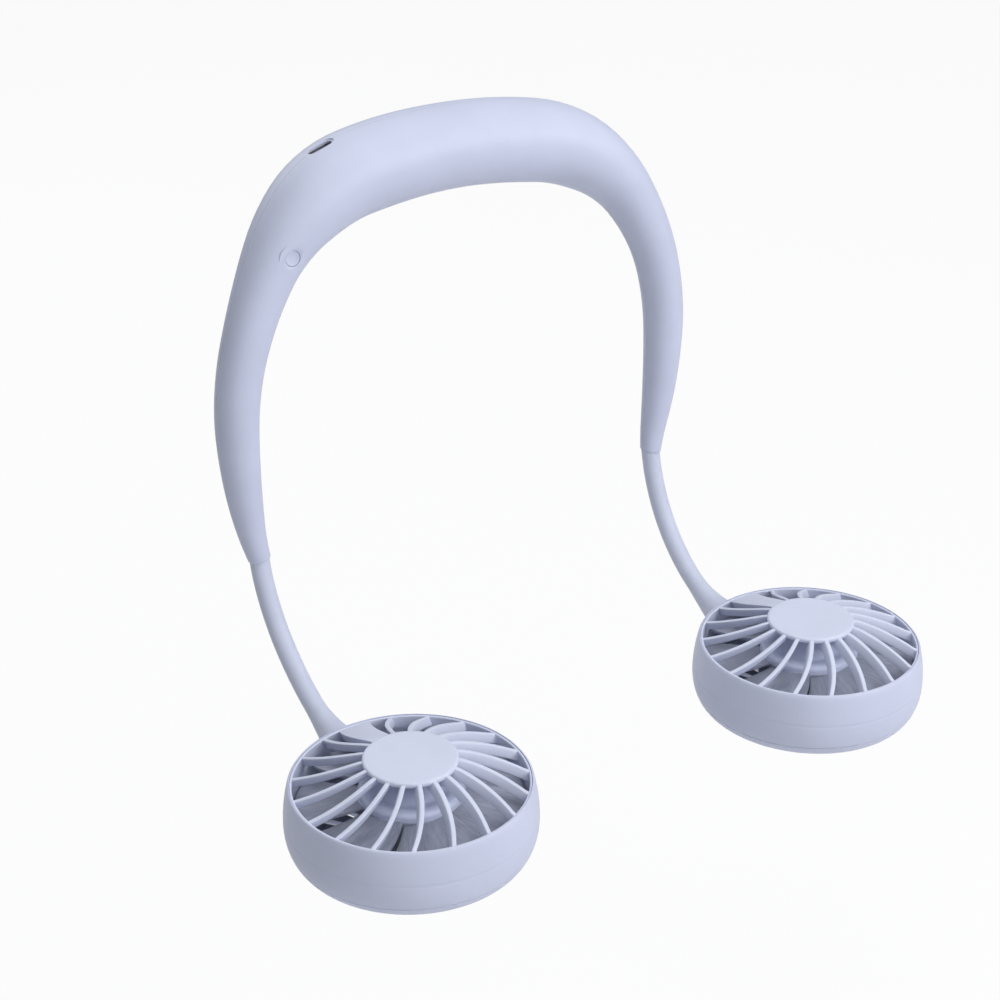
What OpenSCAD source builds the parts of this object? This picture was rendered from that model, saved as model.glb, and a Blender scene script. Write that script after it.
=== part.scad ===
// Neck fan: a padded band that hangs behind the neck and carries a fan head
// on a bendable arm at each end.
// Frame: +Z is up, -Y is the wearer's front, and the origin is the middle of
// the band's neck side. Left is -X and right is +X, as seen from the front.

/* [Band] */
// Half height of the band at the back of the neck
crown_half_height = 14.4; // [13.8:0.1:16]
// Half depth of the band at the back of the neck
crown_half_depth = 16.9; // [16.5:0.1:19]
// Radius of the band's centre line behind the neck
crown_bend_r = 207; // [190:1:260]
// Angle that the crown turns on each side
crown_turn = 10; // [9:0.5:11]
// Radius of the band's centre line at its shoulders
corner_bend_r = 54.5; // [50:0.5:60]
// Angle that each shoulder turns
corner_turn = 48; // [46:0.5:50]
// Radius of the upper legs' centre line
leg_bend_r = 104; // [95:1:115]
// Angle that each upper leg turns
leg_turn = 32; // [30:0.5:34]
// Radius of the leg tips' centre line
tip_bend_r = 235; // [200:1:270]
// Angle that each leg tip turns inwards
tip_turn = 11.5; // [9:0.5:13]
// How far the legs stand in front of the crown
band_lean = 10.5; // [6:0.5:13]
// Wall of the band's two shells
band_wall = 1.8; // [1.4:0.1:2]
// Gap along the seam between the shells
seam_gap = 0.1; // [0.05:0.01:0.2]

/* [Arms] */
// Diameter of the silicone arm
arm_d = 7; // [6:0.1:7.2]
// Radius that the arm is bent to as worn
arm_bend_r = 61.5; // [59:0.5:66]
// Angle between the top of the arm and the vertical
arm_start_angle = 11; // [8:0.5:14]
// Angle that the arm turns in towards the middle
arm_toe = 1.8; // [1:0.1:4]
// Diameter of the steel core in the arm
core_d = 2.4; // [2:0.1:2.8]
// Distance from the band to the first bending place
first_joint = 14; // [12:0.5:16]
// Distance between bending places
joint_pitch = 18; // [16:0.5:19]

/* [Fan heads] */
// Height of a head's rim over its base
head_height = 25; // [24.5:0.5:28]
// Largest diameter of the housing
housing_d = 81.6; // [80.6:0.1:84]
// How far the rim lies inside the widest line
rim_inset = 1.8; // [1.2:0.1:2.2]
// How far the flat base ends inside the widest line
base_inset = 6; // [5.5:0.1:10]
// Height of the housing's widest line
belly_height = 11.6; // [10:0.2:14]
// Height of the joint between housing and rear cover
cover_height = 4.5; // [4:0.1:5]
// Wall between the rim and the air duct
duct_wall = 1.4; // [1.2:0.1:2]
// Wall of the rear cover
cover_wall = 1.8; // [1.4:0.1:2.2]
// Number of air slots in the rear cover
slot_count = 24; // [16:1:30]

/* [Front grille] */
// Number of places round the grille, one of them the wire channel
vane_count = 19; // [13:1:23]
// Thickness of a vane
vane_thickness = 1.6; // [1:0.1:1.8]
// Height of a vane
vane_depth = 3.4; // [2.8:0.1:4]
// Angle that a vane turns between hub and rim
vane_sweep = 9.5; // [5:0.5:16]
// Angle that the whole grille is turned
grille_turn = 4; // [-4:0.5:8]
// Angle that a vane leans from the vertical
vane_lean = 18; // [8:1:24]
// Diameter of the grille's centre disc
disc_d = 30.6; // [28:0.2:33]
// Height of the centre disc over the rim
dome_rise = 8.6; // [7:0.1:9.5]
// Width of the wire channel at the rim
channel_width = 12; // [8:0.5:13]

/* [Impeller and motor] */
// Number of fan blades
blade_count = 7; // [5:1:8]
// Gap between the blade tips and the air duct
blade_gap = 1; // [0.9:0.1:2.5]
// Thickness of a blade
blade_thickness = 1.3; // [1:0.1:1.6]
// Diameter of the impeller's hub
hub_d = 34; // [33:0.2:36]
// Height of the hub's top over the base
hub_top = 23; // [21:0.1:26]
// Diameter of the motor shaft
shaft_d = 2; // [1.5:0.1:2.2]
// Number of stator poles
pole_count = 6; // [4:2:6]

/* [Battery, board and button] */
// Diameter of the cell
cell_d = 18.3; // [18:0.1:18.6]
// Length of the cell
cell_length = 65; // [60:0.5:66]
// Diameter of the power button
button_d = 5.4; // [5:0.1:6]
// Travel of the power button
button_travel = 0.6; // [0.3:0.1:0.8]
// Width of the charging socket's mouth
socket_width = 8.9; // [8:0.1:9.4]
// Height of the charging socket's mouth
socket_height = 3.2; // [2.8:0.1:3.4]

/* [Hidden] */

left = -1;
right = 1;
shell_colour = [0.80, 0.82, 0.90];
silicone_colour = [0.78, 0.80, 0.88];
grille_colour = [0.82, 0.84, 0.92];
steel_colour = [0.72, 0.73, 0.75];
board_colour = [0.10, 0.38, 0.22];
copper_colour = [0.80, 0.45, 0.20];

// Shared clearances and overruns
fit_gap = 0.1;
running_gap = 0.04;
cut_over = 1;
fine = 64;
small = 24;

// Band: the centre line is four arcs on each side, each tangent to the last
band_arcs = [[crown_bend_r, crown_turn], [corner_bend_r, corner_turn],
             [leg_bend_r, leg_turn], [tip_bend_r, tip_turn]];
function arc_length(arc) = arc[0] * arc[1] * PI / 180;
function sum_to(list, count) = count == 0 ? 0 : list[count - 1] + sum_to(list, count - 1);
arc_lengths = [for (arc = band_arcs) arc_length(arc)];
band_half_length = sum_to(arc_lengths, len(band_arcs));

// The heading at a distance s from the middle, as an angle below the horizontal
function heading(s, i = 0) =
    i == len(band_arcs) - 1 || s <= arc_lengths[i]
    ? s / band_arcs[i][0] * 180 / PI
    : band_arcs[i][1] + heading(s - arc_lengths[i], i + 1);
function line_x(s, turned = 0, i = 0) =
    let (r = band_arcs[i][0], run = i == len(band_arcs) - 1 ? s : min(s, arc_lengths[i]))
    let (next = turned + run / r * 180 / PI, x = r * (sin(next) - sin(turned)))
    s <= arc_lengths[i] || i == len(band_arcs) - 1 ? x : x + line_x(s - arc_lengths[i], next, i + 1);
function line_drop(s, turned = 0, i = 0) =
    let (r = band_arcs[i][0], run = i == len(band_arcs) - 1 ? s : min(s, arc_lengths[i]))
    let (next = turned + run / r * 180 / PI, z = r * (cos(turned) - cos(next)))
    s <= arc_lengths[i] || i == len(band_arcs) - 1 ? z : z + line_drop(s - arc_lengths[i], next, i + 1);

// The legs stand forward of the crown, and the tips bend on into the arms
lean_drop = line_drop(arc_lengths[0] + arc_lengths[1] + arc_lengths[2] / 2);
tip_run = arm_bend_r * sin(arm_start_angle);
function line_y(s) =
    let (rise = max(0, 1 - line_drop(s) / lean_drop), tip = max(0, s - band_half_length + tip_run))
    -band_lean * (1 - rise * rise) - tip * tip / (2 * arm_bend_r);
function line_point(s) =
    [sign(s) * line_x(abs(s)), line_y(abs(s)), crown_half_height - line_drop(abs(s))];

// Shares of the crown's half height and half depth along the band
section_shares = [[0, 1.00, 1.00], [0.19, 1.00, 0.985], [0.29, 0.93, 0.92], [0.37, 0.78, 0.78],
                  [0.44, 0.665, 0.63], [0.55, 0.575, 0.495], [0.75, 0.507, 0.432],
                  [0.85, 0.444, 0.378], [0.91, 0.385, 0.328], [0.95, 0.335, 0.285],
                  [1.01, 0.265, 0.226]];
function ease(t) = t * t * (3 - 2 * t);
function slope(table, k, column) =
    let (low = max(0, k - 1), high = min(len(table) - 1, k + 1))
    (table[high][column] - table[low][column]) / (table[high][0] - table[low][0]);
function smooth_share(table, t, column, k = 0) =
    t > table[k + 1][0] && k < len(table) - 2
    ? smooth_share(table, t, column, k + 1)
    : let (a = table[k], b = table[k + 1], w = b[0] - a[0], u = (t - a[0]) / w)
      a[column] * (1 - ease(u)) + b[column] * ease(u)
      + w * u * (1 - u) * ((1 - u) * slope(table, k, column) - u * slope(table, k + 1, column));
function band_share(s, table, column) = smooth_share(table, abs(s) / band_half_length, column);
function half_height(s) = crown_half_height * band_share(s, section_shares, 1);
function half_depth(s) = crown_half_depth * band_share(s, section_shares, 2);

// A point of the band's section: angle 0 is outward, 90 is the back
function section_point(s, angle, wall, shift) =
    let (turned = heading(abs(s)), c = line_point(s), least = wall > 0 ? spigot_r + fit_gap : 0)
    let (a = max(least, half_height(s) - wall), b = max(least, half_depth(s) - wall))
    let (out = a * cos(angle))
    [c.x + sign(s) * sin(turned) * out, c.y + b * sin(angle) + shift, c.z + cos(turned) * out];

band_steps = 34;
section_steps = 14;
stations = [for (i = [-band_steps:band_steps]) band_half_length * i / band_steps];

// A closed loft through rings of equal length
module loft(rings) {
    n = len(rings[0]);
    last = len(rings) - 1;
    points = [for (ring = rings) for (p = ring) p];
    sides = [for (i = [0:last - 1]) for (j = [0:n - 1])
        let (a = i * n + j, b = i * n + (j + 1) % n)
        for (f = [[a, b, b + n], [a, b + n, a + n]]) f];
    ends = [[for (j = [n - 1:-1:0]) j], [for (j = [0:n - 1]) last * n + j]];
    polyhedron(points, concat(sides, ends), convexity = 10);
}

// One half of the band's hollow section, from angle to angle + 180
module half_shell(angle, shift) {
    turns = [for (k = [0:section_steps]) angle + 180 * k / section_steps];
    loft([for (s = stations) concat(
        [for (turn = turns) section_point(s, turn, 0, shift)],
        [for (k = [section_steps:-1:0]) section_point(s, turns[k], band_wall, shift)])]);
}

// Moves children to the band's line at s, with X along the band and Z outward
module on_band(s, depth = 0) {
    translate(line_point(s) + [0, depth, 0]) rotate([0, sign(s) * heading(abs(s)), 0]) children();
}

// Screws that hold the rear shell to bosses in the front one
inner_screw_distance = 38.5;
outer_screw_distance = 94;
screw_places = [-outer_screw_distance, -inner_screw_distance, inner_screw_distance, outer_screw_distance];
screw_r = 0.8;
screw_head_r = 1.6;
screw_head_height = 1.1;
screw_reach = 5.8;
boss_r = 2.2;
rear_boss_r = 2.8;
boss_floor = 1.2;

module along_y(length, r) {
    rotate([-90, 0, 0]) cylinder(h = length, r = r, $fn = small);
}

module front_bosses() {
    for (s = screw_places) {
        front = half_depth(s) - band_wall / 2;
        on_band(s, -front) along_y(front - seam_gap / 2, boss_r);
    }
}

module rear_bosses() {
    for (s = screw_places)
        on_band(s, seam_gap / 2) along_y(half_depth(s) - band_wall / 2, rear_boss_r);
}

module shell_screws() {
    color(steel_colour) for (s = screw_places) {
        on_band(s, boss_floor) along_y(screw_head_height, screw_head_r);
        on_band(s, -screw_reach) along_y(screw_reach + boss_floor, screw_r);
    }
}

// Holes for the screws, with the heads sunk to the floor of the rear bosses
module screw_holes() {
    for (s = screw_places) {
        on_band(s, -screw_reach - fit_gap) along_y(screw_reach + boss_floor + cut_over, screw_r + fit_gap);
        on_band(s, boss_floor) along_y(half_depth(s), screw_head_r + fit_gap);
    }
}

// Charging socket, straddling the seam on the left shoulder
socket_distance = 45;
socket_place = left * socket_distance;
socket_length = 7.2;
socket_wall = 0.35;
socket_sink = 1.3;
recess_width = 10.6;
recess_height = 4.8;
recess_depth = 0.5;
tongue_width = 6.6;
tongue_height = 0.7;
tongue_sink = 1.2;

module slot_outline(width, height) {
    hull_run = (width - height) / 2;
    for (side = [left, right]) translate([side * hull_run, 0]) circle(d = height, $fn = small);
    square([2 * hull_run, height], center = true);
}

module charging_socket() {
    color(steel_colour) on_band(socket_place) translate([0, 0, half_height(socket_place) - socket_sink]) {
        translate([0, 0, -socket_length]) linear_extrude(socket_length) difference() {
            slot_outline(socket_width + 2 * socket_wall, socket_height + 2 * socket_wall);
            slot_outline(socket_width, socket_height);
        }
        translate([0, 0, -socket_length]) linear_extrude(socket_wall)
            slot_outline(socket_width, socket_height);
        translate([-tongue_width / 2, -tongue_height / 2, -socket_length])
            cube([tongue_width, tongue_height, socket_length - tongue_sink]);
    }
}

module socket_cut() {
    on_band(socket_place) translate([0, 0, half_height(socket_place)]) {
        translate([0, 0, -socket_sink - band_wall])
            linear_extrude(socket_sink + band_wall + cut_over)
            slot_outline(socket_width + 2 * socket_wall + 2 * fit_gap,
                         socket_height + 2 * socket_wall + 2 * fit_gap);
        translate([0, 0, -recess_depth]) linear_extrude(recess_depth + cut_over)
            slot_outline(recess_width, recess_height);
    }
}

// Power button, on the front of the left shoulder
button_distance = 75;
button_place = left * button_distance;
button_flange = 0.9;
button_flange_r = button_d / 2 + button_flange;
button_flange_height = 1;
button_sink = 0.5;
button_crown_r = 9;
guide_wall = 1;
guide_r = button_flange_r + fit_gap + guide_wall;
guide_length = 5.5;
guide_land = 2.4;
stem_r = 1.2;
stem_gap = 0.25;
button_front = half_depth(button_place) - button_sink;

// Every piece of the button is drawn along +Y from the button's face
module at_button() {
    on_band(button_place, -button_front) children();
}

module button_guide() {
    at_button() translate([0, button_sink, 0]) along_y(guide_length, guide_r);
}

module button_bore() {
    at_button() {
        translate([0, -cut_over - button_sink, 0])
            along_y(guide_length + 2 * cut_over, button_d / 2 + running_gap);
        translate([0, guide_land, 0]) along_y(guide_length, button_flange_r + fit_gap);
        translate([0, -button_crown_r + button_sink / 2, 0]) sphere(button_crown_r, $fn = fine);
    }
}

module power_button() {
    stem = switch_front - button_travel - stem_gap - guide_land - fit_gap - button_flange_height;
    color(shell_colour) at_button() {
        along_y(guide_land + fit_gap + button_flange_height, button_d / 2);
        translate([0, guide_land + fit_gap, 0]) along_y(button_flange_height, button_flange_r);
        translate([0, guide_land + fit_gap + button_flange_height, 0]) along_y(stem, stem_r);
    }
}

// Control board: a curved strip that follows the left shoulder
board_start_distance = 41.5;
board_end_distance = 79;
board_half_width = 5;
board_thickness = 1;
board_rear = line_y(abs(socket_place)) - socket_height / 2 - socket_wall - fit_gap;

module control_board() {
    color(board_colour) translate([0, board_rear, 0]) mirror([1, 0, 0]) board_strip();
}

// The board's arc has the shoulder's own centre
module board_strip() {
    centre_x = line_x(arc_lengths[0]) - corner_bend_r * sin(crown_turn);
    centre_z = crown_half_height - line_drop(arc_lengths[0]) - corner_bend_r * cos(crown_turn);
    translate([centre_x, 0, centre_z]) rotate([90, 0, 0])
        rotate([0, 0, 90 - heading(board_end_distance)])
        rotate_extrude(angle = heading(board_end_distance) - heading(board_start_distance), $fn = fine)
        translate([corner_bend_r - board_half_width, 0])
        square([2 * board_half_width, board_thickness]);
}

// Tact switch between the board and the button's stem
switch_size = 6;
switch_height = 3.4;
plunger_length = 3;
plunger_r = 1.5;
pedestal_gap = 0.05;
switch_front = board_rear - board_thickness - line_y(abs(button_place)) + button_front
    - switch_height - plunger_length;

module tact_switch() {
    color([0.16, 0.16, 0.18]) at_button() {
        translate([-switch_size / 2, switch_front + plunger_length, -switch_size / 2])
            cube([switch_size, switch_height - pedestal_gap, switch_size]);
        translate([0, switch_front, 0]) along_y(plunger_length, plunger_r);
    }
}

// Battery, lying straight in the crown
cell_r = cell_d / 2;
crown_sag = line_drop(cell_length / 2);
cell_axis_z = crown_half_height - crown_sag / 2;
cell_lip = 0.6;
terminal_r = 2.9;
terminal_height = 1;
cradle_wall = 1.3;
cradle_gap = 0.2;
cradle_r = cell_r + cradle_gap + cradle_wall;
tab_thickness = 0.3;
tab_width = 8;
end_gap = terminal_height + tab_thickness + fit_gap;
cradle_end = cell_length / 2 + end_gap;

module along_x(length, r) {
    rotate([0, 90, 0]) cylinder(h = length, r = r, center = true, $fn = fine);
}

module battery_cell() {
    color([0.20, 0.42, 0.66]) translate([0, 0, cell_axis_z]) {
        along_x(cell_length, cell_r);
        translate([(cell_length + terminal_height) / 2, 0, 0]) along_x(terminal_height, terminal_r);
    }
}

module battery_cradle() {
    color([0.92, 0.92, 0.93]) translate([0, 0, cell_axis_z]) difference() {
        along_x(2 * (cradle_end + cradle_wall), cradle_r);
        along_x(2 * cradle_end, cell_r + cradle_gap);
        translate([-cradle_end - cradle_wall - cut_over, -cradle_r - cell_r / 4, -cradle_r])
            cube([2 * (cradle_end + cradle_wall + cut_over), cradle_r, 2 * cradle_r]);
    }
}

module battery_tabs() {
    color(steel_colour) translate([0, 0, cell_axis_z]) {
        translate([cell_length / 2 + terminal_height, -tab_width / 2 + cell_r / 4, -tab_width / 2])
            cube([tab_thickness, tab_width, tab_width]);
        translate([-cradle_end + fit_gap, -tab_width / 2 + cell_r / 4, -tab_width / 2])
            cube([end_gap - fit_gap, tab_width, tab_width]);
    }
}

pad_length = 36;
pad_height = 6;
pad_gap = 0.4;

module foam_pads() {
    inner = crown_half_depth - band_wall;
    rear_face = inner * sqrt(1 - pow(pad_height / 2 / (crown_half_height - band_wall), 2)) - pad_gap;
    color([0.25, 0.25, 0.28]) translate([-pad_length / 2, 0, cell_axis_z - pad_height / 2]) {
        translate([0, cradle_r, 0]) cube([pad_length, rear_face - cradle_r, pad_height]);
        translate([0, -rear_face, 0]) cube([pad_length, rear_face - cell_r, pad_height]);
    }
}

// Lead wires from the board to each arm, behind the battery and past the screws
wire_r = 0.7;
wire_sides = 6;
wire_step = 7;

// Shares of the band's half height and half depth at which the wires run
wire_shares = [[0, 0.50, 0.64], [0.19, 0.50, 0.64], [0.42, 0.50, 0.12], [0.54, 0.50, 0],
               [0.70, 0.18, 0], [0.88, 0, 0], [1.01, 0, 0]];
function wire_ring(s) =
    let (turned = sign(s) * heading(abs(s)), outward = [sin(turned), 0, cos(turned)])
    let (out = half_height(s) * band_share(s, wire_shares, 1))
    let (back = half_depth(s) * band_share(s, wire_shares, 2))
    [for (k = [0:wire_sides - 1]) let (angle = 360 * k / wire_sides)
        line_point(s) + outward * (out + wire_r * cos(angle)) + [0, back + wire_r * sin(angle), 0]];

module wire(from, to) {
    count = round((to - from) / wire_step);
    loft([for (i = [0:count]) wire_ring(from + (to - from) * i / count)]);
}

module lead_wires() {
    end = band_half_length - spigot_length - fit_gap;
    color([0.75, 0.12, 0.12]) {
        wire(-end, -board_end_distance - wire_step / 4);
        wire(-board_start_distance + wire_step / 2, end);
    }
}

module front_shell() {
    color(shell_colour) difference() {
        union() {
            half_shell(180, -seam_gap / 2);
            front_bosses();
            button_guide();
        }
        screw_holes();
        button_bore();
        socket_cut();
    }
}

module rear_shell() {
    color(shell_colour) difference() {
        union() {
            half_shell(0, seam_gap / 2);
            rear_bosses();
        }
        screw_holes();
        socket_cut();
    }
}

// Arm: one arc in an upright plane that starts at the band's tip
arm_r = arm_d / 2;
core_r = core_d / 2;
core_gap = 0.1;
ball_gap = 0.3;
ball_step = 0.4;
ball_r = arm_r - ball_step;
spigot_r = 2.6;
spigot_length = 8;
attach_sink = 2;
attach_r = housing_d / 2 - attach_sink;
attach_height = 10.8;
arm_length = arm_bend_r * (90 - arm_start_angle) * PI / 180;
joint_places = [for (i = [0:3]) first_joint + joint_pitch * i];
arm_centre = [0, -arm_bend_r * cos(arm_start_angle), arm_bend_r * sin(arm_start_angle)];
arm_drop = arm_bend_r * (1 - sin(arm_start_angle));
arm_reach = arm_bend_r * cos(arm_start_angle);

function arm_angle(place) = arm_start_angle + place / arm_bend_r * 180 / PI;
function arm_point(place) =
    arm_centre + arm_bend_r * [0, cos(arm_angle(place)), -sin(arm_angle(place))];

// Moves children to the top of an arm, turned into the arm's plane
module at_arm(side) {
    translate(line_point(side * band_half_length)) rotate([0, 0, -side * arm_toe]) children();
}

module arm_arc(from, to, r) {
    translate(arm_centre) rotate([90, 0, 90]) rotate([0, 0, -arm_angle(to)])
        rotate_extrude(angle = arm_angle(to) - arm_angle(from), $fn = fine)
        translate([arm_bend_r, 0]) circle(r, $fn = fine);
}

// Moves children to a place on an arm, with Z pointing down the arm
module on_arm(place) {
    translate(arm_point(place)) rotate([180 - arm_angle(place), 0, 0]) children();
}

// The hollow that takes the ball of the sleeve above
module arm_cup(place) {
    on_arm(place) sphere(arm_r + ball_gap, $fn = fine);
}

module arm_ball(place) {
    on_arm(place) sphere(ball_r, $fn = fine);
}

module sleeve(side, i) {
    from = joint_places[i - 1];
    to = joint_places[i];
    color(silicone_colour) at_arm(side) difference() {
        union() {
            arm_arc(from, to, arm_r);
            arm_ball(to);
        }
        arm_cup(from);
        arm_arc(from - cut_over, to + arm_r + cut_over, core_r + core_gap);
    }
}

// The top length is cut to the band's end face and plugs into the band
module sleeve_top(side) {
    tip = line_point(side * band_half_length);
    inside = line_point(side * (band_half_length - spigot_length));
    run = inside - tip;
    over = 2 * arm_d;
    color(silicone_colour) difference() {
        union() {
            difference() {
                at_arm(side) union() {
                    arm_arc(-arm_r, joint_places[0], arm_r);
                    arm_ball(joint_places[0]);
                }
                on_band(side * band_half_length)
                    translate([side * (fit_gap - over / 2), 0, 0]) cube(over, center = true);
            }
            aim(tip, run) translate([0, 0, -arm_r / 2])
                cylinder(h = norm(run) + arm_r / 2, r = spigot_r, $fn = fine);
        }
        aim(tip, run) cylinder(h = norm(run) + cut_over, r = core_r + core_gap, $fn = fine);
        aim(tip, run) sphere(core_r + 4 * core_gap, $fn = fine);
        at_arm(side) arm_arc(0, joint_places[0] + arm_r + cut_over, core_r + core_gap);
    }
}

// Moves children to a point, with Z along a direction
module aim(point, direction) {
    translate(point) rotate([0, acos(direction.z / norm(direction)), atan2(direction.y, direction.x)])
        children();
}

core_start = arm_r + ball_gap + fit_gap;

module core(side, i) {
    from = i == 0 ? fit_gap : joint_places[i - 1] + core_start;
    to = i == 4 ? arm_length - fit_gap : joint_places[i] + core_r;
    color(steel_colour) at_arm(side) arm_arc(from, to, core_r);
}

// Boot: the flared end of the sleeve, which seats on the housing
boot_collar = 1.8;
boot_collar_r = 4.6;
boot_flare_r = 8.6;
boot_power = 1.5;
boot_lip = 1.6;
boot_steps = 6;
boot_gap = 0.2;

module boot(side) {
    color(silicone_colour) difference() {
        at_arm(side) union() {
            arm_arc(joint_places[3], arm_length, arm_r);
            boot_flare();
        }
        at_arm(side) arm_cup(joint_places[3]);
        at_arm(side) arm_arc(joint_places[3] - cut_over, arm_length + cut_over, core_r + core_gap);
        at_head(side) boot_seat();
    }
}

// The housing's wall where the boot sits on it
module boot_seat() {
    reach = boot_flare_r + cut_over;
    places = [for (k = [-1:1 / 3:1]) attach_height + k * reach];
    rotate([0, 0, -90]) rotate_extrude($fn = fine) polygon(concat(
        [[0, places[0]]], [for (z = places) [outer_r(z) + boot_gap, z]], [[0, attach_height + reach]]));
}

// A bell that grows towards the wall, along the middle of the arm's last length
module boot_flare() {
    start = joint_places[3] + boot_collar;
    middle = (start + arm_length) / 2;
    run = arm_length - start + boot_lip;
    on_arm(middle) translate([0, 0, start - middle]) rotate_extrude($fn = fine) polygon(concat(
        [[0, 0]],
        [for (k = [0:boot_steps]) let (t = k / boot_steps)
            [boot_collar_r + (boot_flare_r - boot_collar_r) * pow(t, boot_power), run * t]],
        [[0, run]]));
}

// Fan head: the middle of its base is its own origin
housing_r = housing_d / 2;
base_r = housing_r - base_inset;
rim_r = housing_r - rim_inset;
duct_r = rim_r - duct_wall;
rebate_depth = 4.4;
rebate_lip = 0.58;
ring_wall = 0.75;
rebate_r = rim_r - rebate_lip;
rim_round = 0.5;
profile_steps = 8;

function head_centre(side) =
    let (tip = line_point(side * band_half_length))
    [tip.x - side * arm_reach * sin(arm_toe), tip.y - arm_reach * cos(arm_toe) - attach_r,
     tip.z - arm_drop - attach_height];

module at_head(side) {
    translate(head_centre(side)) children();
}

// The outer profile's radius: an ellipse up to the belly, then a curve in to the rim
function outer_r(z) =
    z < belly_height
    ? base_r + (housing_r - base_r) * sqrt(max(0, 1 - pow((belly_height - z) / belly_height, 2)))
    : housing_r - (housing_r - rim_r) * pow((z - belly_height) / (head_height - belly_height), 2);
function outer_points(low, high, count) =
    [for (k = [0:count]) let (z = low + (high - low) * k / count) [outer_r(z), z]];

// The base's round has its points spaced evenly round the ellipse
function base_points(high) =
    let (last = acos((belly_height - high) / belly_height))
    [for (k = [0:profile_steps]) let (angle = last * k / profile_steps)
        [base_r + (housing_r - base_r) * sin(angle), belly_height * (1 - cos(angle))]];

module housing(side) {
    inlet_r = core_r + core_gap + fit_gap;
    color(shell_colour) at_head(side) difference() {
        rotate_extrude($fn = fine) polygon(concat(
            [[duct_r, cover_height]],
            outer_points(cover_height, belly_height, profile_steps),
            outer_points(belly_height, head_height - rim_round, profile_steps),
            [[rim_r - rim_round, head_height], [rebate_r, head_height],
             [rebate_r, head_height - rebate_depth], [duct_r, head_height - rebate_depth]]));
        translate([0, duct_r - cut_over, attach_height]) rotate([-90, 0, 0])
            cylinder(h = housing_r, r = inlet_r, $fn = small);
    }
}

// Front grille
disc_r = disc_d / 2;
disc_top = head_height + dome_rise;
disc_thickness = 1.9;
disc_round = 0.7;
vane_hub_drop = 0.6;
vane_rim_drop = 0.5;
vane_power = 1.15;
sweep_power = 1.6;
vane_steps = 6;
ring_r = rebate_r - fit_gap;
vane_pivot = head_height + dome_rise / 3;
channel_wall = 1.2;
channel_hub_share = 0.6;

function vane_share(r) = min(1, max(0, (r - disc_r) / (duct_r - disc_r)));
function vane_top(r) =
    let (hub = disc_top - vane_hub_drop, rim = head_height - vane_rim_drop)
    hub - (hub - rim) * pow(vane_share(r), vane_power);
vane_radii = [for (k = [0:vane_steps])
    let (from = disc_r - disc_thickness, to = ring_r - ring_wall / 3) from + (to - from) * k / vane_steps];

// A cut runs on past the vane at hub and rim
function radii(run_on) = run_on == 0 ? vane_radii
    : concat([vane_radii[0] - run_on], vane_radii, [vane_radii[vane_steps] + run_on]);

// Every ring of the grille starts in the gap between two vanes
start_pitches = 5.54;
grille_start = 90 + grille_turn + 360 / vane_count * start_pitches;

// The skin that every vane is cut to, one vane deep and open at hub and rim
module vane_skin(depth, run_on = 0) {
    places = radii(run_on);
    rotate([0, 0, grille_start]) rotate_extrude($fn = fine) polygon(concat(
        [for (r = places) [r, vane_top(r)]],
        [for (k = [len(places) - 1:-1:0]) [places[k], vane_top(places[k]) - depth]]));
}

// A vane's outline before it is leaned over, from hub to rim along X
module vane_outline(hub_width, rim_width, run_on) {
    function middle(r) =
        let (turned = vane_sweep * (0.5 - pow(vane_share(r), sweep_power)))
        r * sin(turned) * cos(vane_lean) - (vane_top(r) - vane_pivot) * sin(vane_lean);
    function half_width(r) = (hub_width + (rim_width - hub_width) * vane_share(r)) / 2;
    places = radii(run_on);
    polygon(concat(
        [for (r = places) [r, middle(r) + half_width(r)]],
        [for (k = [len(places) - 1:-1:0]) let (r = places[k]) [r, middle(r) - half_width(r)]]));
}

module leaned_vane(hub_width, rim_width, run_on = 0) {
    reach = 2 * dome_rise + vane_depth;
    translate([0, 0, vane_pivot]) rotate([-vane_lean, 0, 0]) translate([0, 0, -reach / 2])
        linear_extrude(reach) vane_outline(hub_width, rim_width, run_on);
}

module front_grille(side) {
    color(grille_colour) at_head(side) {
        rotate([0, 0, grille_start]) rotate_extrude($fn = fine) polygon([
            [0, disc_top - disc_thickness], [disc_r - disc_round, disc_top - disc_thickness],
            [disc_r, disc_top - disc_thickness + disc_round], [disc_r, disc_top - disc_round],
            [disc_r - disc_round / 3, disc_top - disc_round / 3], [disc_r - disc_round, disc_top],
            [0, disc_top]]);
        rotate([0, 0, grille_start]) rotate_extrude($fn = fine)
            translate([ring_r - ring_wall, head_height - rebate_depth + fit_gap])
            square([ring_wall, rebate_depth - 3 * fit_gap]);
        intersection() {
            vane_skin(vane_depth);
            for (k = [1:vane_count - 1]) rotate([0, 0, 90 + grille_turn + 360 / vane_count * k])
                leaned_vane(vane_thickness, vane_thickness);
        }
        difference() {
            intersection() {
                vane_skin(vane_depth);
                rotate([0, 0, 90 + grille_turn])
                    leaned_vane(channel_width * channel_hub_share, channel_width);
            }
            intersection() {
                translate([0, 0, -channel_wall]) vane_skin(vane_depth, cut_over);
                rotate([0, 0, 90 + grille_turn])
                    leaned_vane(channel_width * channel_hub_share - 2 * channel_wall,
                                channel_width - 2 * channel_wall, cut_over);
            }
        }
    }
}

// Rear cover with its air slots, motor seat and bearing post
lip_height = 2.4;
lip_wall = 1;
slot_width = 2.4;
slot_start_r = 17.5;
slot_margin = 1.5;
slot_end_r = base_r - slot_margin;
seat_height = 2.9;
seat_r = 13.5;
post_r = 3;
bearing_r = 2;
cover_step_r = duct_r - fit_gap;

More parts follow.
